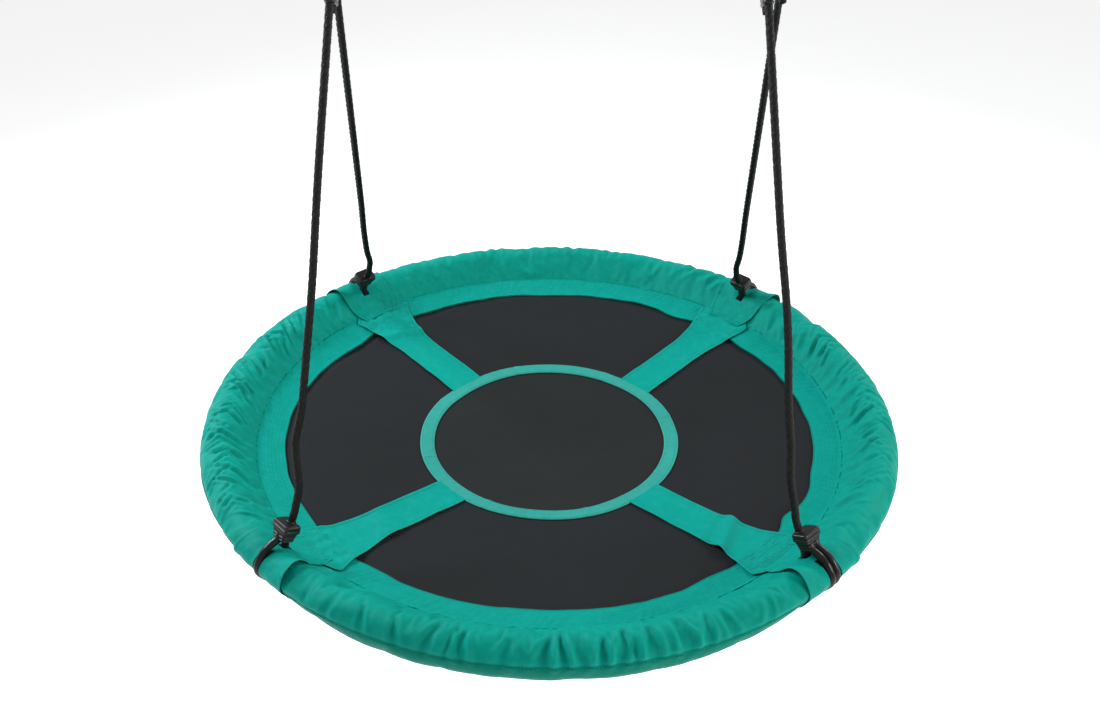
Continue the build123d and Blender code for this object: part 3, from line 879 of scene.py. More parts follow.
# ------------------------------------------------------------------ stitched border
HEM_SWELLS = [  # azimuth (corner or back, plus an offset), swell towards the mat, spread
    (-45 + 12.0, 0.0115, 3.6), (-45 + 21.0, -0.0060, 5.0), (-45 - 13.0, 0.0040, 4.0),
    (45 - 10.0, 0.0030, 4.0), (45 + 11.0, 0.0075, 4.5), (45 + 22.0, -0.0030, 5.0),
    (135 - 12.0, 0.0020, 4.0), (135 + 12.0, 0.0060, 4.5),
    (225 - 11.0, 0.0020, 4.0), (225 + 12.0, 0.0030, 4.0),
    (90 - 20.0, -0.0020, 4.0), (90.0, 0.0035, 6.0), (90 + 12.0, -0.0025, 5.0)]
HEM_OUTER_R = 0.4665
HEM_ROWS = 0.0030 + 0.0055 * np.arange(7)             # stitch rows, from the inner edge


def hem_edge(angle):
    """Inner edge of the border: a wavy circle that swells beside each strap."""
    turn = angle / (2 * np.pi)
    edge = HEM_R + 0.0026 * ripple(turn, 5, 6, 5, 13) + 0.0008 * ripple(turn, 9, 5, 26, 50)
    for azimuth, swell, spread in HEM_SWELLS:
        away = np.degrees(turn_from(angle, math.radians(azimuth)))
        edge = edge - swell * bell(away, 0, spread)
    return edge


def build_hem(side, start):
    stations = 420
    angle = np.linspace(math.radians(start + 0.15), math.radians(start + 89.85), stations)
    edge = hem_edge(angle)[:, None]
    angle = angle[:, None]
    radius = edge + (HEM_OUTER_R - edge) * np.linspace(0, 1, 34)
    inset = radius - edge
    quilt = -0.00042 * sum(bell(inset, row, 0.0010) for row in HEM_ROWS)
    pucker = 0.00042 * np.sin(angle * RIM / 0.0075 * 2 * np.pi * 0.5
                              + 2.5 * ripple(angle * 2.2, 3, 5, 1, 4) + 9 * inset / 0.04)
    pucker = (pucker * (0.35 + 0.65 * smooth(inset, 0.004, 0.03))
              * (0.5 + 0.5 * ripple(angle * 1.7, 8, 4, 1, 3)))
    roll = 0.0009 * bell(inset, 0, 0.0022)
    uneven = 0.0006 * clouds(radius * np.cos(angle), radius * np.sin(angle), 17, 0.05, 2)
    z = top_z(radius) + 0.0005 + quilt + pucker + roll + uneven
    points = polar(radius, angle, z)
    border = thick_sheet("rim_border_mesh_" + side, points, 0.0034,
                         stack_last(angle * RIM, radius), HEM_CLOTH)
    attach(border, "rim_fabric")
    runs = []
    for row in HEM_ROWS:
        columns = np.abs(inset - row).argmin(axis=1)
        path = points[np.arange(stations), columns] + UPWARD * 0.0002
        runs.append((path, UPWARD, HEM_STITCH))
    sew("rim_border_thread_" + side, "rim_fabric", runs)


for side, start in SIDES.items():
    build_hem(side, start)

# ------------------------------------------------------------------ mat
MAT_THICK = 0.0022
MAT_DROP = 0.0010                   # mat's top below the nominal height


def build_sector(side, start):
    angle = np.linspace(math.radians(start + 0.12), math.radians(start + 89.88), 130)[:, None]
    edge = hem_edge(angle)
    inner = MAT_R + 0.0005
    radius = inner + (edge + 0.007 - inner) * np.linspace(0, 1, 48)
    # the mat dips below the border
    z = top_z(radius) - MAT_DROP - 0.0018 * smooth(radius - edge, -0.016, -0.002)
    x, y = radius * np.cos(angle), radius * np.sin(angle)
    panel = thick_sheet("mat_panel_" + side, stack_last(x, y, z + mat_relief(x, y)), MAT_THICK,
                        stack_last(x, y), MAT_CLOTH)
    subdivide(panel)
    attach(panel, "mat_fabric", "mat_sector_" + side)


def build_centre():
    stations, rings = 180, 44
    angle = np.linspace(0, 2 * np.pi, stations, endpoint=False)[:, None]
    radius = np.linspace(0.004, MAT_R, rings)
    x, y = radius * np.cos(angle), radius * np.sin(angle)
    top = stack_last(x, y, top_z(radius) - MAT_DROP + mat_relief(x, y)).reshape(-1, 3)
    hub = [[0, 0, -0.0562], [0, 0, -0.0562 - MAT_THICK]]
    verts = np.concatenate([top, top - UPWARD * MAT_THICK, hub])
    panel = make_object("mat_centre_panel", verts, annulus_faces(stations, rings, hub=True),
                        verts[:, :2], CENTRE_CLOTH)
    face_outward(panel)
    attach(panel, "mat_fabric", "mat_centre")


for side, start in SIDES.items():
    build_sector(side, start)
build_centre()


# ------------------------------------------------------------------ binding tape
def build_binding():
    """Ribbed tape over the joint between the mat's centre and its sectors."""
    stations, columns = 1600, 16
    inner, width, rib_pitch = 0.1885, 0.0230, 0.0026
    angle = np.linspace(0, 2 * np.pi, stations, endpoint=False)[:, None]
    across = np.linspace(0, 1, columns)[None, :]
    radius = inner + 0.0012 * ripple(angle / (2 * np.pi), 77, 5, 3, 9) + width * across
    ground = top_z(radius) + mat_relief(radius * np.cos(angle), radius * np.sin(angle))
    edge = np.minimum(across, 1 - across)
    rib = 0.00022 * np.sin(angle * MAT_R / rib_pitch * 2 * np.pi)
    z = (ground + 0.0021 + rib * smooth(edge, 0.0, 0.12)
         - 0.0016 * (1 - smooth(edge, 0.0, 0.09)))
    for row in (0.13, 0.87):                           # grooves under the stitch rows
        z = z - 0.0004 * bell(across, row, 0.05)
    for k in range(8):                                 # short raised overlaps
        away = turn_from(angle, (k + 0.35) * np.pi / 4)
        z = z + 0.0006 * (smooth(away, -0.002, 0.002) - smooth(away, 0.045, 0.05))
    points = polar(radius, angle, z)
    verts = np.concatenate([points, polar(radius, angle, ground - 0.0002)]).reshape(-1, 3)
    uv = stack_last(angle * MAT_R, radius).reshape(-1, 2)
    tape = make_object("binding_tape_mesh", verts, annulus_faces(stations, columns),
                       np.concatenate([uv, uv]), BINDING_TAPE)
    face_outward(tape)
    attach(tape, "binding", "centre_binding")
    runs = []
    for column in (2, 13):
        path = points[::4, column]
        path = np.concatenate([path, path[:1]]) + UPWARD * 0.0002
        runs.append((path, UPWARD, BINDING_STITCH))
    sew("binding_thread", "binding", runs)


build_binding()

# ------------------------------------------------------------------ straps
STRAP_HALF = 0.0312
STRAP_HEM = 0.0052                                    # stitch line's distance from the edge
STRAP_CROSS_ROWS = (0.4250, 0.4310, 0.4370, 0.4500)   # radii of the stitch rows across it
STRAP_SHAPES = {  # widening at the outer end (-, + side); arch: radius, height, skew, spread
    "front_right": ((0.020, 0.022), (0.366, 0.0105, 0.45, 0.0125)),
    "front_left": ((0.018, 0.024), (0.335, 0.0030, -0.3, 0.018)),
    "back_left": ((0.024, 0.016), (0.388, 0.0060, -0.30, 0.012)),
    "back_right": ((0.016, 0.020), (0.330, 0.0018, 0.3, 0.018))}


def build_strap(name, azimuth):
    stations, columns = 150, 44
    seed = int(azimuth)
    widening, (arch_at, arch_height, arch_skew, arch_spread) = STRAP_SHAPES[name]
    along = np.linspace(0.2065, 0.4720, stations)[:, None]
    across = np.linspace(-1, 1, columns)[None, :]
    edge = np.abs(across)
    hand = np.sign(across)
    flare = np.clip((along - 0.315) / 0.125, 0, 1.12) ** 2.3
    half = (STRAP_HALF + np.where(across < 0, *widening) * flare
            + 0.0007 * ripple(along * 6 + hand, seed + 3, 4, 1, 4))
    half = half * (1 - 0.30 * smooth(along, 0.450, 0.472) * edge ** 2)
    side = half * across
    radius = np.hypot(along, side)
    cos, sin = math.cos(math.radians(azimuth)), math.sin(math.radians(azimuth))
    x, y = along * cos - side * sin, along * sin + side * cos

    ground = top_z(radius) + mat_relief(x, y) * (1 - smooth(radius, 0.40, 0.425))
    lift = 0.0019 + 0.0020 * smooth(radius, 0.396, 0.424)
    free = smooth(along, 0.22, 0.26) * (1 - smooth(along, 0.41, 0.44))
    buckle = np.abs(0.0012 * ripple(along + 0.25 * side, seed + 9, 4, 3, 8) * free)
    cup = 0.0012 * edge ** 2 * ripple(along, seed + 19, 4, 2, 6) * free
    arch = (arch_height * bell(along + arch_skew * side, arch_at, arch_spread)
            * (1 - 0.25 * edge))
    inset = half * (1 - edge)
    hem = 0.0005 * (1 - smooth(inset, 0.005, 0.0062)) - 0.0005 * bell(inset, STRAP_HEM, 0.0008)
    full_along = along + 0 * side
    pucker = (0.0010 * clouds(full_along, side, seed + 77, 0.022, 2)
              * smooth(along, 0.405, 0.43))
    pull = 0.00066 * np.sin((side + 0.4 * (along - 0.42)) / 0.0065
                            + 2.0 * ripple(along * 4, seed + 55, 3, 1, 3))
    pull = pull * smooth(along, 0.415, 0.432) * (1 - smooth(along, 0.452, 0.464))
    grooves = sum(bell(radius, row, 0.0010) for row in STRAP_CROSS_ROWS) * (edge < 0.93)
    z = ground + lift + buckle + cup + arch + hem + pucker + pull - 0.0006 * grooves

    points = stack_last(x, y, z)
    strap = thick_sheet("strap_mesh_" + name, points, 0.0016, stack_last(full_along, side),
                        STRAP_CLOTH)
    subdivide(strap)
    attach(strap, "strap_webbing", "mat_strap_" + name)
    raised = points + UPWARD * 0.0003
    runs = []
    for sign in (-1, 1):
        nearest = np.argmin(np.abs(inset - STRAP_HEM) + (hand != sign) * 1.0, axis=1)
        path = raised[np.arange(stations), nearest][4:-8]
        runs.append((relax(path, 8), UPWARD, STRAP_STITCH))
    for row in STRAP_CROSS_ROWS:
        nearest = np.abs(radius - row).argmin(axis=0)
        path = raised[nearest, np.arange(columns)][3:-3]
        runs.append((relax(path, 3), UPWARD, STRAP_STITCH))
    sew("strap_thread_" + name, "strap_webbing", runs)


for name, azimuth in CORNERS.items():
    build_strap(name, azimuth)

# ------------------------------------------------------------------ turn of rope round the rim
TILT = math.radians(27.0)                             # clamps lean inwards by this much
TILT_COS, TILT_SIN = math.cos(TILT), math.sin(TILT)
STRAND = 0.0055                     # half the distance between a turn's two ends
SIDE_STEP = 0.00555                 # half the distance between the front right's two turns
TURN_STATIONS = np.array([  # section angle about the rim (degrees), radius of rope's centre
    (109.0, 0.0425), (101.0, 0.0396), (92.0, 0.0376), (82.0, 0.0358), (72.0, 0.0336),
    (60.0, 0.0312), (48.0, 0.0294), (34.0, 0.0282), (15.0, 0.0277), (0.0, 0.0275),
    (-30.0, 0.0274), (-60.0, 0.0275), (-90.0, 0.0276), (-120.0, 0.0268), (-150.0, 0.0252),
    (-180.0, 0.0245), (-200.0, 0.0245), (-216.0, 0.0256), (-226.0, 0.0288), (-232.0, 0.0340),
    (-235.0, 0.0425)])


def clamp_section(out, rise):
    """(radius, z) of a point given outwards and up along a corner's tilted clamp."""
    return (RIM + out * TILT_COS - rise * TILT_SIN, out * TILT_SIN + rise * TILT_COS)


def turn_section():
    """(radius, z) of the rope's centre, from the outer strand round the rim to the inner."""
    angles, radii = TURN_STATIONS.T
    degrees = np.arange(angles[0], angles[-1] - 1e-6, -2.0)
    radius = relax(np.interp(-degrees, -angles, radii) * pinch(degrees, 0.0), 2)
    theta = np.radians(degrees)
    section = stack_last(RIM + radius * np.cos(theta), radius * np.sin(theta))
    section[0] = clamp_section(STRAND, 0.052)
    section[-1] = clamp_section(-STRAND, 0.052)
    return section


TURN = turn_section()


def turn_distance(radius, z):
    """Distance of section points from the rope's centre line."""
    nearest = np.full(np.shape(radius), 9.0)
    for start, run in zip(TURN[:-1], np.diff(TURN, axis=0)):
        out, rise = radius - start[0], z - start[1]
        share = np.clip((out * run[0] + rise * run[1]) / (run @ run), 0, 1)
        nearest = np.minimum(nearest, np.hypot(out - share * run[0], rise - share * run[1]))
    return nearest


# ------------------------------------------------------------------ corner bands
BAND_HEM = 0.0068                   # stitch line's distance from the edge
BAND_LIFTS = {  # edges that stand off: side along the rim, height, section angle, spread
    "front_left": ((1, 0.0105, 78.0, 38.0), (-1, 0.0024, 30.0, 40.0)),
    "front_right": ((-1, 0.0085, 92.0, 42.0), (1, 0.0030, 20.0, 40.0)),
    "back_left": ((1, 0.0080, 112.0, 34.0), (-1, 0.0012, 60.0, 40.0)),
    "back_right": ((-1, 0.0070, 62.0, 34.0), (1, 0.0014, 100.0, 30.0))}


def band_path(hem_steps=8, slope_steps=16, arc_steps=44):
    """Section from over the border to under the rim; columns as in rim_section."""
    inner, bend = 0.4525, 0.4655
    flat = np.array([-0.24, 0.97])                     # normal over the border
    rows = []
    for k in range(hem_steps):
        radius = inner + (bend - inner) * k / hem_steps
        rows.append([radius, float(top_z(radius)), *flat])
    start = np.array([bend, float(top_z(bend))])
    upper = arc_row(UPPER_TANGENT)
    for k in range(slope_steps):
        share = k / slope_steps
        weight = min(1.0, share * 3)
        normal = flat * (1 - weight) + upper[2:] * weight
        point = start + (upper[:2] - start) * share
        rows.append([*point, *(normal / np.linalg.norm(normal))])
    for k in range(arc_steps + 1):
        rows.append(arc_row(UPPER_TANGENT + (-104 - UPPER_TANGENT) * k / arc_steps))
    return np.array(rows)


BAND = band_path()


def band_offset(name, seed, slit, side, across, progress, degrees, half):
    """How far the band stands off the rim cover."""
    edge = np.abs(across)
    crown = smooth(degrees, -95, -30) * (1 - smooth(degrees, 110, 165))
    middle = bell(side, 0, 0.011)
    lift = 0.0020
    for sign, height, centre, spread in BAND_LIFTS[name]:
        standing = smooth(sign * across, 0.45, 1.0) ** 1.2
        lift = lift + standing * height * bell(degrees, centre, spread)
    lift = lift + (0.0006 * crown * smooth(edge, 0.7, 1.0)
                   * ripple(degrees / 60.0 + np.sign(across) * 3, seed + 4, 4, 0.5, 1.6))
    lift = lift - 0.0006 * middle * crown + 0.0010 * crown * bell(np.abs(side), 0.026, 0.010)
    girth = degrees / 57.3 * RIM * 0.06
    fold = 0.00096 * clouds(side, girth, seed + 2, 0.040, 3) * (1 - 0.8 * middle)
    pull = 0.00112 * np.sin(side / 0.0075 + 2.2 * ripple(progress, seed + 7, 3, 1, 3))
    pull = pull * smooth(degrees, 60, 100) * (1 - smooth(degrees, 150, 166)) * (1 - middle)
    inset = half * (1 - edge)
    hem = 0.0005 * (1 - smooth(inset, 0.006, 0.0075)) - 0.0005 * bell(inset, BAND_HEM, 0.0009)
    lip = (0.0011 * bell(np.maximum(np.abs(side) - slit, 0), 0, 0.004)
           * (1 - smooth(degrees, 60.0, 75.0)))
    over_strap = 0.0030 * (1 - smooth(progress, 0.10, 0.24))
    return np.maximum(lift + fold + pull + hem + lip, 0.0015) + over_strap


def build_band(name, azimuth):
    slit = 0.0124 if name == "front_right" else 0.0068
    seed = int(azimuth) + 900
    across = np.linspace(-1, 1, 61)[None, :]
    progress = np.linspace(0, 1, len(BAND))[:, None]
    band_r, band_z, normal_out, normal_up = (column[:, None] for column in BAND.T)
    degrees = np.degrees(np.arctan2(band_z, band_r - RIM))
    degrees = np.where(degrees < -120, degrees + 360, degrees)
    half = 0.050 + 0.0035 * smooth(progress, 0.2, 0.6) - 0.010 * (1 - smooth(progress, 0.0, 0.22))
    side = half * across
    # keep the columns beside the slit on its edges
    snapped = np.where(np.abs(side) < 0.5 * slit, np.abs(side), slit + 0.0002)
    side = np.where(np.abs(side) < slit + 0.0016, np.sign(side) * snapped, side)
    side = side + (0.0010 * ripple(progress, seed, 4, 1, 4)
                   * smooth(np.abs(side), slit + 0.003, slit + 0.02))
    offset = band_offset(name, seed, slit, side, across, progress, degrees, half)
    squeeze = pinch(degrees, side)
    radius = RIM + (band_r + normal_out * offset - RIM) * squeeze
    z = (band_z + normal_up * offset) * squeeze
    angle = math.radians(azimuth) + side / RIM
    points = polar(radius, angle, z)
    normals = polar(normal_out, angle, normal_up)
    normals /= np.linalg.norm(normals, axis=-1, keepdims=True)

    # leave out the cells that the rope passes through
    def cell_mean(grid):
        return 0.25 * (grid[1:, 1:] + grid[:-1, :-1] + grid[1:, :-1] + grid[:-1, 1:])

    cell_side = 0.5 * (side[1:, 1:] + side[1:, :-1])
    in_rope = turn_distance(cell_mean(radius), cell_mean(z)) < 0.0072
    mask = ~((np.abs(cell_side) < slit) & in_rope)
    uv = stack_last(side, lengths_along(BAND[:, :2])[:, None])
    band = thick_sheet("corner_band_mesh_" + name, points, 0.0011, uv, BAND_CLOTH,
                       normals=normals, mask=mask)
    face_outward(band)
    subdivide(band)
    attach(band, "rim_fabric", "corner_band_" + name)
    runs = []
    for sign in (-1, 1):
        column = int(np.argmin(np.abs(across - sign * (1 - BAND_HEM / 0.051))))
        normal = normals[2:-3, column]
        runs.append((points[2:-3, column] + normal * 0.0002, normal, BAND_EDGE_STITCH))
    for row in (2, 5):
        path = points[row, 2:-2] + normals[row, 2:-2] * 0.0003
        # the dashes take their normals from the row's first columns
        runs.append((path, normals[row][:len(path)], BAND_CROSS_STITCH))
    sew("corner_band_thread_" + name, "rim_fabric", runs)


for name, azimuth in CORNERS.items():
    build_band(name, azimuth)

# ------------------------------------------------------------------ ropes
PIVOT_RISE = 0.084                  # height up the clamp's axis where a leg starts to lean
HANG_X, RING_R, RING_Z = 0.283, 0.032, 0.772          # hanging rings
BEND_R = 0.011                      # bend of the rope over its ring
BAR_R = 0.0085                      # clearance radius from the ring's bar
PAIR = {"left": 0.0052, "right": 0.017}               # half spacing of two ropes in a ring
TOP_GAP = {"front_left": 0.0014, "back_left": 0.0012, "front_right": 0.008,
           "back_right": 0.005}
LEG_BENDS = {  # small permanent bends: distance up from the clamp, spread, offset along X
    "front_left": ((0.030, 0.020, 0.0034), (0.094, 0.030, -0.0058), (0.30, 0.10, 0.0022)),
    "front_right": ((0.058, 0.030, -0.0038), (0.150, 0.05, -0.0018), (0.270, 0.08, 0.0030)),
    "back_left": ((0.030, 0.018, 0.0036), (0.12, 0.05, -0.0012)),
    "back_right": ((0.026, 0.018, -0.0028), (0.10, 0.05, 0.0010))}
BRAID_DEPTH, BRAID_LAY, HALF_STRANDS = 0.0011, 0.0100, 3
HOSE_R, HOSE_BORE, HOSE_RING_PITCH = 0.0053, 0.0044, 0.0042


def unit(vector):
    return vector / np.linalg.norm(vector)


def hand_of(name):
    return "right" if "right" in name else "left"


def across_from(direction, name):
    """Unit vector square to direction, towards the rope's own end of the seat."""
    toward = np.array([0, -1.0 if "front" in name else 1.0, 0])
    return unit(toward - direction * np.dot(toward, direction))


def leg_side(name):
    """Place of a leg along the rim; the front right one is on the first of two turns."""
    return -SIDE_STEP if name == "front_right" else 0.0


def clamp_frame(azimuth):
    """Origin on the ring, then outward, along-rim and upward axes of a tilted clamp."""
    cos, sin = math.cos(math.radians(azimuth)), math.sin(math.radians(azimuth))
    return (np.array([RIM * cos, RIM * sin, 0.0]),
            np.array([TILT_COS * cos, TILT_COS * sin, TILT_SIN]),
            np.array([-sin, cos, 0.0]),
            np.array([-TILT_SIN * cos, -TILT_SIN * sin, TILT_COS]))


def at_clamp(azimuth, out, side, rise):
    origin, outward, along, upward = clamp_frame(azimuth)
    return origin + outward * out + along * side + upward * rise


def turn_path(azimuth, side):
    cos, sin = math.cos(math.radians(azimuth)), math.sin(math.radians(azimuth))
    radius, z = TURN.T
    return stack_last(radius * cos - side * sin, radius * sin + side * cos, z)


def rope_mesh(name, points, radius, step, around):
    """Braided tube along a polyline, its corners rounded a little."""
    centres, lengths = resample(points, step)
    relax(centres, 6)
    tangents, sides, ups = frames_along(centres)
    angles = np.linspace(0, 2 * np.pi, around, endpoint=False)
    along, theta = np.meshgrid(lengths, angles, indexing="ij")
    right_lay = np.sin(HALF_STRANDS * theta + np.pi * along / BRAID_LAY)
    left_lay = np.sin(HALF_STRANDS * theta - np.pi * along / BRAID_LAY)
    height = np.abs(np.where(right_lay * left_lay > 0, right_lay, left_lay)) ** 0.6
    radii = (radius - BRAID_DEPTH + BRAID_DEPTH * 1.4 * height
             + 0.00012 * np.sin(along * 400))
    skin = tube_points(centres, sides, ups, angles, radii).reshape(-1, 3)
    tips = [centres[0] - tangents[0] * 0.001, centres[-1] + tangents[-1] * 0.001]
    uv = np.concatenate([stack_last(along, theta * radius).reshape(-1, 2),
                         [[0, 0], [lengths[-1], 0]]])
    return make_object(name, np.concatenate([skin, tips]), tube_faces(len(centres), around),
                       uv, ROPE)


def build_leg(name, azimuth):
    """Rope from the clamp up to its hanging ring, over it and back down a little."""
    hand = hand_of(name)
    front = "front" in name
    side = leg_side(name)
    pivot = at_clamp(azimuth, -STRAND, side, PIVOT_RISE)
    ring_x = HANG_X + PAIR[hand] * (-1 if front else 1)
    bar = np.array([ring_x if hand == "right" else -ring_x, 0,
                    RING_Z - math.sqrt(RING_R ** 2 - PAIR[hand] ** 2)])
    # lean the leg so that it meets the bend over the bar at a tangent
    length = np.linalg.norm(pivot - bar)
    straight = unit(pivot - bar)
    toward = across_from(straight, name)
    lean = BEND_R / length
    keep = math.sqrt(1 - lean * lean)
    down = straight * keep - toward * lean
    outer = straight * lean + toward * keep
    centre = bar + down * (BEND_R - (BAR_R + TOP_GAP[name]))
    bend_way = unit(np.array([1.0, 0, 0]) - down * down[0])

    leg = centre + outer * BEND_R - pivot
    leg_length = np.linalg.norm(leg)
    collar = at_clamp(azimuth, -STRAND, side, 0.070)
    points = [at_clamp(azimuth, -STRAND, side, 0.056), collar]
    for k in range(60):
        climbed = k / 59 * leg_length
        point = pivot + leg * (k / 59)
        for place, spread, amount in LEG_BENDS[name]:
            bend = amount * bell(climbed, place, spread) * min(1.0, climbed / 0.015)
            point = point + bend_way * bend
        points.append(point)
    for k in range(1, 19):
        turn = math.pi * k / 18
        points.append(centre + outer * BEND_R * math.cos(turn) - down * BEND_R * math.sin(turn))
    for k in range(1, 12):
        points.append(bar - outer * BEND_R + down * (0.002 + 0.093 * k / 11))
    rope = rope_mesh("rope_braid_" + name, points, radius=0.0051, step=0.0012, around=24)
    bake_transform(rope)
    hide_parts("rope_" + name)


def build_turn(name, tag, azimuth, side):
    path = [at_clamp(azimuth, STRAND, side, 0.060), *turn_path(azimuth, side),
            at_clamp(azimuth, -STRAND, side, 0.060)]
    rope = rope_mesh("rope_turn_" + tag, path, radius=0.0040, step=0.002, around=16)
    attach(rope, "rope", "rope_loop_" + name)


def build_hose(name, tag, azimuth, side, seed):
    """Hose over the turn of rope, with faint moulding rings."""
    around = 28
    centres, lengths = resample(turn_path(azimuth, side), 0.0016)
    relax(centres, 10)
    _, sides, ups = frames_along(centres)
    angles = np.linspace(0, 2 * np.pi, around, endpoint=False)
    along = lengths[:, None]
    radii = (HOSE_R + 0.00010 * np.sin(along * 2 * np.pi / HOSE_RING_PITCH)
             + 0.00012 * ripple(along * 40, seed, 4, 0.5, 2))
    skins = [tube_points(centres, sides, ups, angles, radius).reshape(-1, 3)
             for radius in (radii, HOSE_BORE)]
    rings = len(centres)
    count = rings * around
    outside = grid_faces(rings, around, wrap_columns=True, flip=True)
    faces = outside + [tuple(i + count for i in quad[::-1]) for quad in outside]
    last = count - around
    for j in range(around):
        after = (j + 1) % around
        faces.append((j, after, after + count, j + count))
        faces.append((last + after, last + j, last + j + count, last + after + count))
    hose = make_object("hose_mesh_" + tag, np.concatenate(skins), faces, None, HOSE)
    face_outward(hose)
    attach(hose, "hose", "rope_guard_" + name)


for name, azimuth in CORNERS.items():
    build_leg(name, azimuth)
    double = name == "front_right"
    for k, side in enumerate((-SIDE_STEP, SIDE_STEP) if double else (0.0,)):
        tag = name + ("_%d" % k if double else "")
        build_turn(name, tag, azimuth, side)
        build_hose(name, tag, azimuth, side, seed=5 + k)

# ------------------------------------------------------------------ clamps
# each row: height up the clamp's axis, half size outwards, half size along the rim
FOOT_ROWS = [
    (0.0418, 0.0085, 0.0110), (0.0421, 0.0094, 0.0120), (0.0428, 0.0099, 0.0126),
    (0.0447, 0.0101, 0.0129), (0.0450, 0.0084, 0.0112), (0.0464, 0.0084, 0.0112),
    (0.0467, 0.0104, 0.0134), (0.0492, 0.0106, 0.0138), (0.0495, 0.0088, 0.0120),
    (0.0509, 0.0088, 0.0120), (0.0512, 0.0110, 0.0144), (0.0545, 0.0113, 0.0149),
    (0.0551, 0.0109, 0.0145), (0.0553, 0.0098, 0.0132)]
HEAD_ROWS = [
    (0.0554, 0.0104, 0.0148), (0.0557, 0.0120, 0.0165), (0.0564, 0.0127, 0.0172),
    (0.0600, 0.0129, 0.0174), (0.0604, 0.0118, 0.0160), (0.0612, 0.0118, 0.0160),
    (0.0616, 0.0127, 0.0171), (0.0650, 0.0124, 0.0168), (0.0661, 0.0119, 0.0163),
    (0.0667, 0.0108, 0.0152), (0.0669, 0.0090, 0.0130)]
COLLAR_ROWS = [
    (0.0660, 0.0066, 0.0066), (0.0676, 0.0066, 0.0066), (0.0684, 0.0062, 0.0062),
    (0.0687, 0.0054, 0.0054), (0.0684, 0.0049, 0.0049)]
LENGTH_CLAMP_HALF = (0.0184, 0.0080, 0.0135)          # half width, depth and height
LENGTH_CLAMP_EDGE = 0.0013
GROOVE_PITCH = 0.0076
CLAMP_END = [(0, 2.6), (0.25, 1.2), (1, 0.25), (1.6, 0)]   # edge radii: from the end, inset
CLAMP_GROOVE = [(-0.0013, 0), (-0.0009, 0.0004), (-0.0006, 0.0013),   # height, depth
                (0.0006, 0.0013), (0.0009, 0.0004), (0.0013, 0)]


def loft(name, origin, axes, rows, power, around):
    """Closed stack of superellipses, whose corners sharpen as power rises."""
    angles = np.linspace(0, 2 * np.pi, around, endpoint=False)
    across, along = (np.sign(wave) * np.abs(wave) ** (2 / power)
                     for wave in (np.cos(angles), np.sin(angles)))
    rings = [origin + np.outer(across * half_x, axes[0]) + np.outer(along * half_y, axes[1])
             + axes[2] * height for height, half_x, half_y in rows]
    tips = [origin + axes[2] * rows[0][0], origin + axes[2] * rows[-1][0]]
    made = make_object(name, np.concatenate(rings + [tips]), tube_faces(len(rows), around),
                       None, CLAMP)
    face_outward(made)
    return made


def length_clamp_rows():
    """Rounded ends and three grooves between them."""
    half_x, half_y, half_z = LENGTH_CLAMP_HALF
    ends = [(half_z - rise * LENGTH_CLAMP_EDGE, inset * LENGTH_CLAMP_EDGE)
            for rise, inset in CLAMP_END]
    profile = [(-height, inset) for height, inset in ends]
    for centre in (-GROOVE_PITCH, 0, GROOVE_PITCH):
        profile += [(centre + height, inset) for height, inset in CLAMP_GROOVE]
    profile += ends[::-1]
    return [(height, half_x - inset, half_y - inset) for height, inset in profile]


def build_lower_clamp(name, azimuth):
    origin, *axes = clamp_frame(azimuth)
    ride = "lower_adjuster_" + name
    foot = loft("clamp_foot_" + name, origin, axes, FOOT_ROWS, power=7.0, around=64)
    attach(foot, "clamp", "lower_clamp_" + name, ride=ride)
    head = loft("clamp_head_" + name, origin, axes, HEAD_ROWS, power=7.0, around=64)
    attach(head, "clamp", "lower_clamp_cap_" + name, ride=ride)
    rope_base = at_clamp(azimuth, -STRAND, leg_side(name), 0.0)
    collar = loft("clamp_collar_" + name, rope_base, axes, COLLAR_ROWS, power=2.0, around=32)
    attach(collar, "clamp", ride=ride)


def build_length_clamp(name):
    """Clamp that slides on a leg, square to the slide's axis."""
    slide = next(joint for joint in frame["record"]["behaviour"]["joints"]
                 if joint["name"] == "upper_clamp_slide_" + name)
    axis = unit(np.array(slide["axis"], float))
    low, high = [np.array(corner, float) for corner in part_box("upper_clamp_" + name)]
    centre = (low + high) / 2
    centre[2] -= LIFT
    outer = across_from(axis, name)
    made = loft("length_clamp_" + name, centre, (outer, np.cross(axis, outer), axis),
                length_clamp_rows(), power=3.2, around=56)
    attach(made, "clamp", "upper_clamp_" + name, ride="upper_adjuster_" + name)


for name, azimuth in CORNERS.items():
    build_lower_clamp(name, azimuth)
for name in CORNERS:
    build_length_clamp(name)

# ------------------------------------------------------------------ CAD nodes that stay
PAINT = (
    (("hang_ring_", "spring_hook_", "hook_gate_", "gate_", "frame_joint"), STEEL),
    (("frame_tube_",), FRAME_COAT),
    (("foam_",), FOAM))
for prefixes, material in PAINT:
    for name, node in frame["nodes"].items():
        if name.startswith(prefixes):
            for slot in node.material_slots:
                slot.link = "OBJECT"
                slot.material = material


# ------------------------------------------------------------------ floor, light, camera
def build_floor():
    cells, size, height = 24, 40, -0.95
    mesh = bpy.data.meshes.new("floor")
    steps = [(i / cells - 0.5) * size for i in range(cells + 1)]
    verts = [(x, y, height + LIFT) for x in steps for y in steps]
    mesh.from_pydata(verts, [], grid_faces(cells + 1, cells + 1, flip=True))
    floor = bpy.data.objects.new("floor", mesh)
    scene.collection.objects.link(floor)
    shader = Shader("studio_floor")
    mottle = shader.noise(shader.coords("Object"), scale=3.0, detail=2.0)
    shader.surface({
        "Base Color": shader.mix(mottle, (0.90, 0.90, 0.90), (0.93, 0.93, 0.93)),
        "Roughness": 0.95,
        "Specular IOR Level": 0.0,
        "Emission Color": (1.0, 1.0, 1.0),
        "Emission Strength": 0.47})
    mesh.materials.append(shader.material)


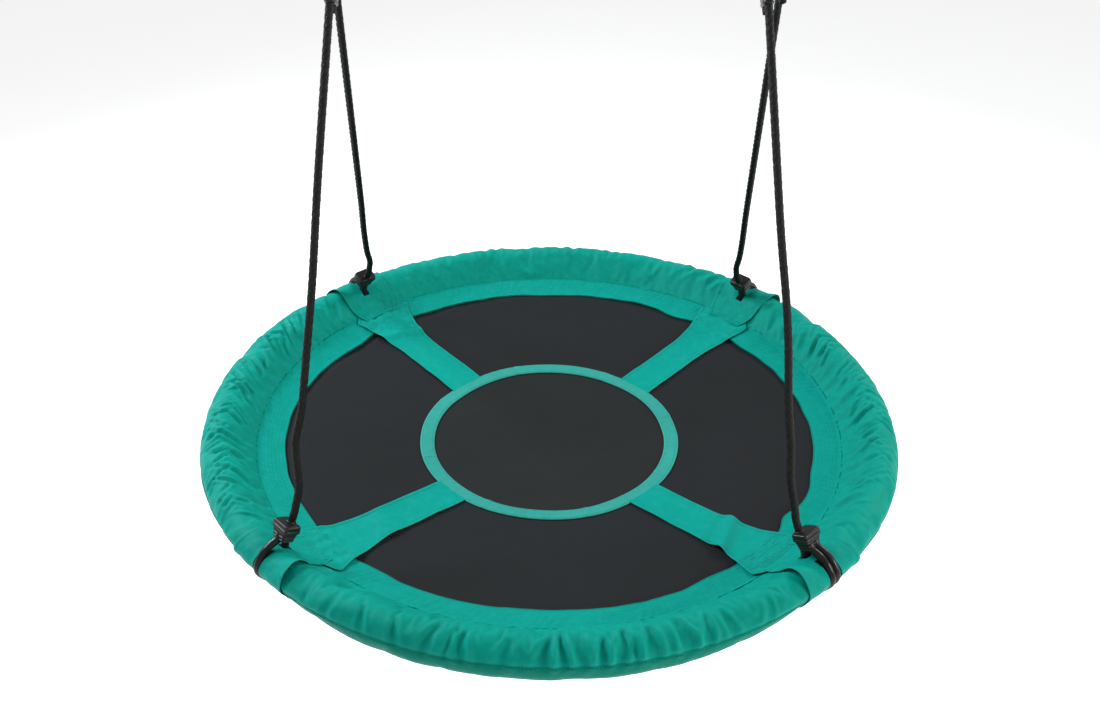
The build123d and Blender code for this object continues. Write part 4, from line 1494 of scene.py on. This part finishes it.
def build_world():
    world = bpy.data.worlds.new("studio")
    scene.world = world
    world.use_nodes = True
    background = world.node_tree.nodes["Background"]
    background.inputs["Color"].default_value = (1.0, 1.0, 1.0, 1.0)
    background.inputs["Strength"].default_value = 0.44


def add_light(name, place, size, power, colour=(1, 1, 1)):
    """Round area light aimed at the middle of the ring."""
    light = bpy.data.lights.new(name, "AREA")
    light.shape = "DISK"
    light.size = size
    light.energy = power
    light.color = colour
    lamp = bpy.data.objects.new(name, light)
    location = Vector(place) + LIFT_VECTOR
    lamp.location = location
    lamp.rotation_euler = (LIFT_VECTOR - location).to_track_quat("-Z", "Y").to_euler()
    scene.collection.objects.link(lamp)


def build_camera():
    place = Vector((0.01469, -1.50872, 1.07584))
    pitch, yaw, roll = 0.57379, -0.00976, 0.00904      # radians; pitch is downwards
    forward = Vector((math.sin(yaw) * math.cos(pitch), math.cos(yaw) * math.cos(pitch),
                      -math.sin(pitch)))
    level = forward.cross(Vector((0, 0, 1))).normalized()
    upright = level.cross(forward)
    right = level * math.cos(roll) + upright * math.sin(roll)
    top = -level * math.sin(roll) + upright * math.cos(roll)
    lens = bpy.data.cameras.new("camera")
    lens.sensor_width = 36.0
    lens.sensor_fit = "HORIZONTAL"
    lens.lens = 37.3018909
    lens.clip_end = 100
    camera = bpy.data.objects.new("camera", lens)
    pose = Matrix((right, top, -forward)).transposed().to_4x4()
    pose.translation = place + LIFT_VECTOR
    camera.matrix_world = pose
    scene.collection.objects.link(camera)
    scene.camera = camera


build_floor()
build_world()
add_light("left_back", place=(-2.2, 1.6, 1.6), size=0.8, power=64, colour=(0.93, 1.0, 1.10))
add_light("left", place=(-2.4, 0.35, 2.1), size=0.7, power=44, colour=(0.97, 1.0, 1.03))
add_light("right_back", place=(2.2, 1.6, 1.6), size=1.0, power=36)
add_light("right_front", place=(2.6, -1.1, 1.0), size=1.0, power=38, colour=(1.0, 1.0, 0.96))
build_camera()
scene.view_settings.view_transform = "Standard"
scene.view_settings.look = "None"
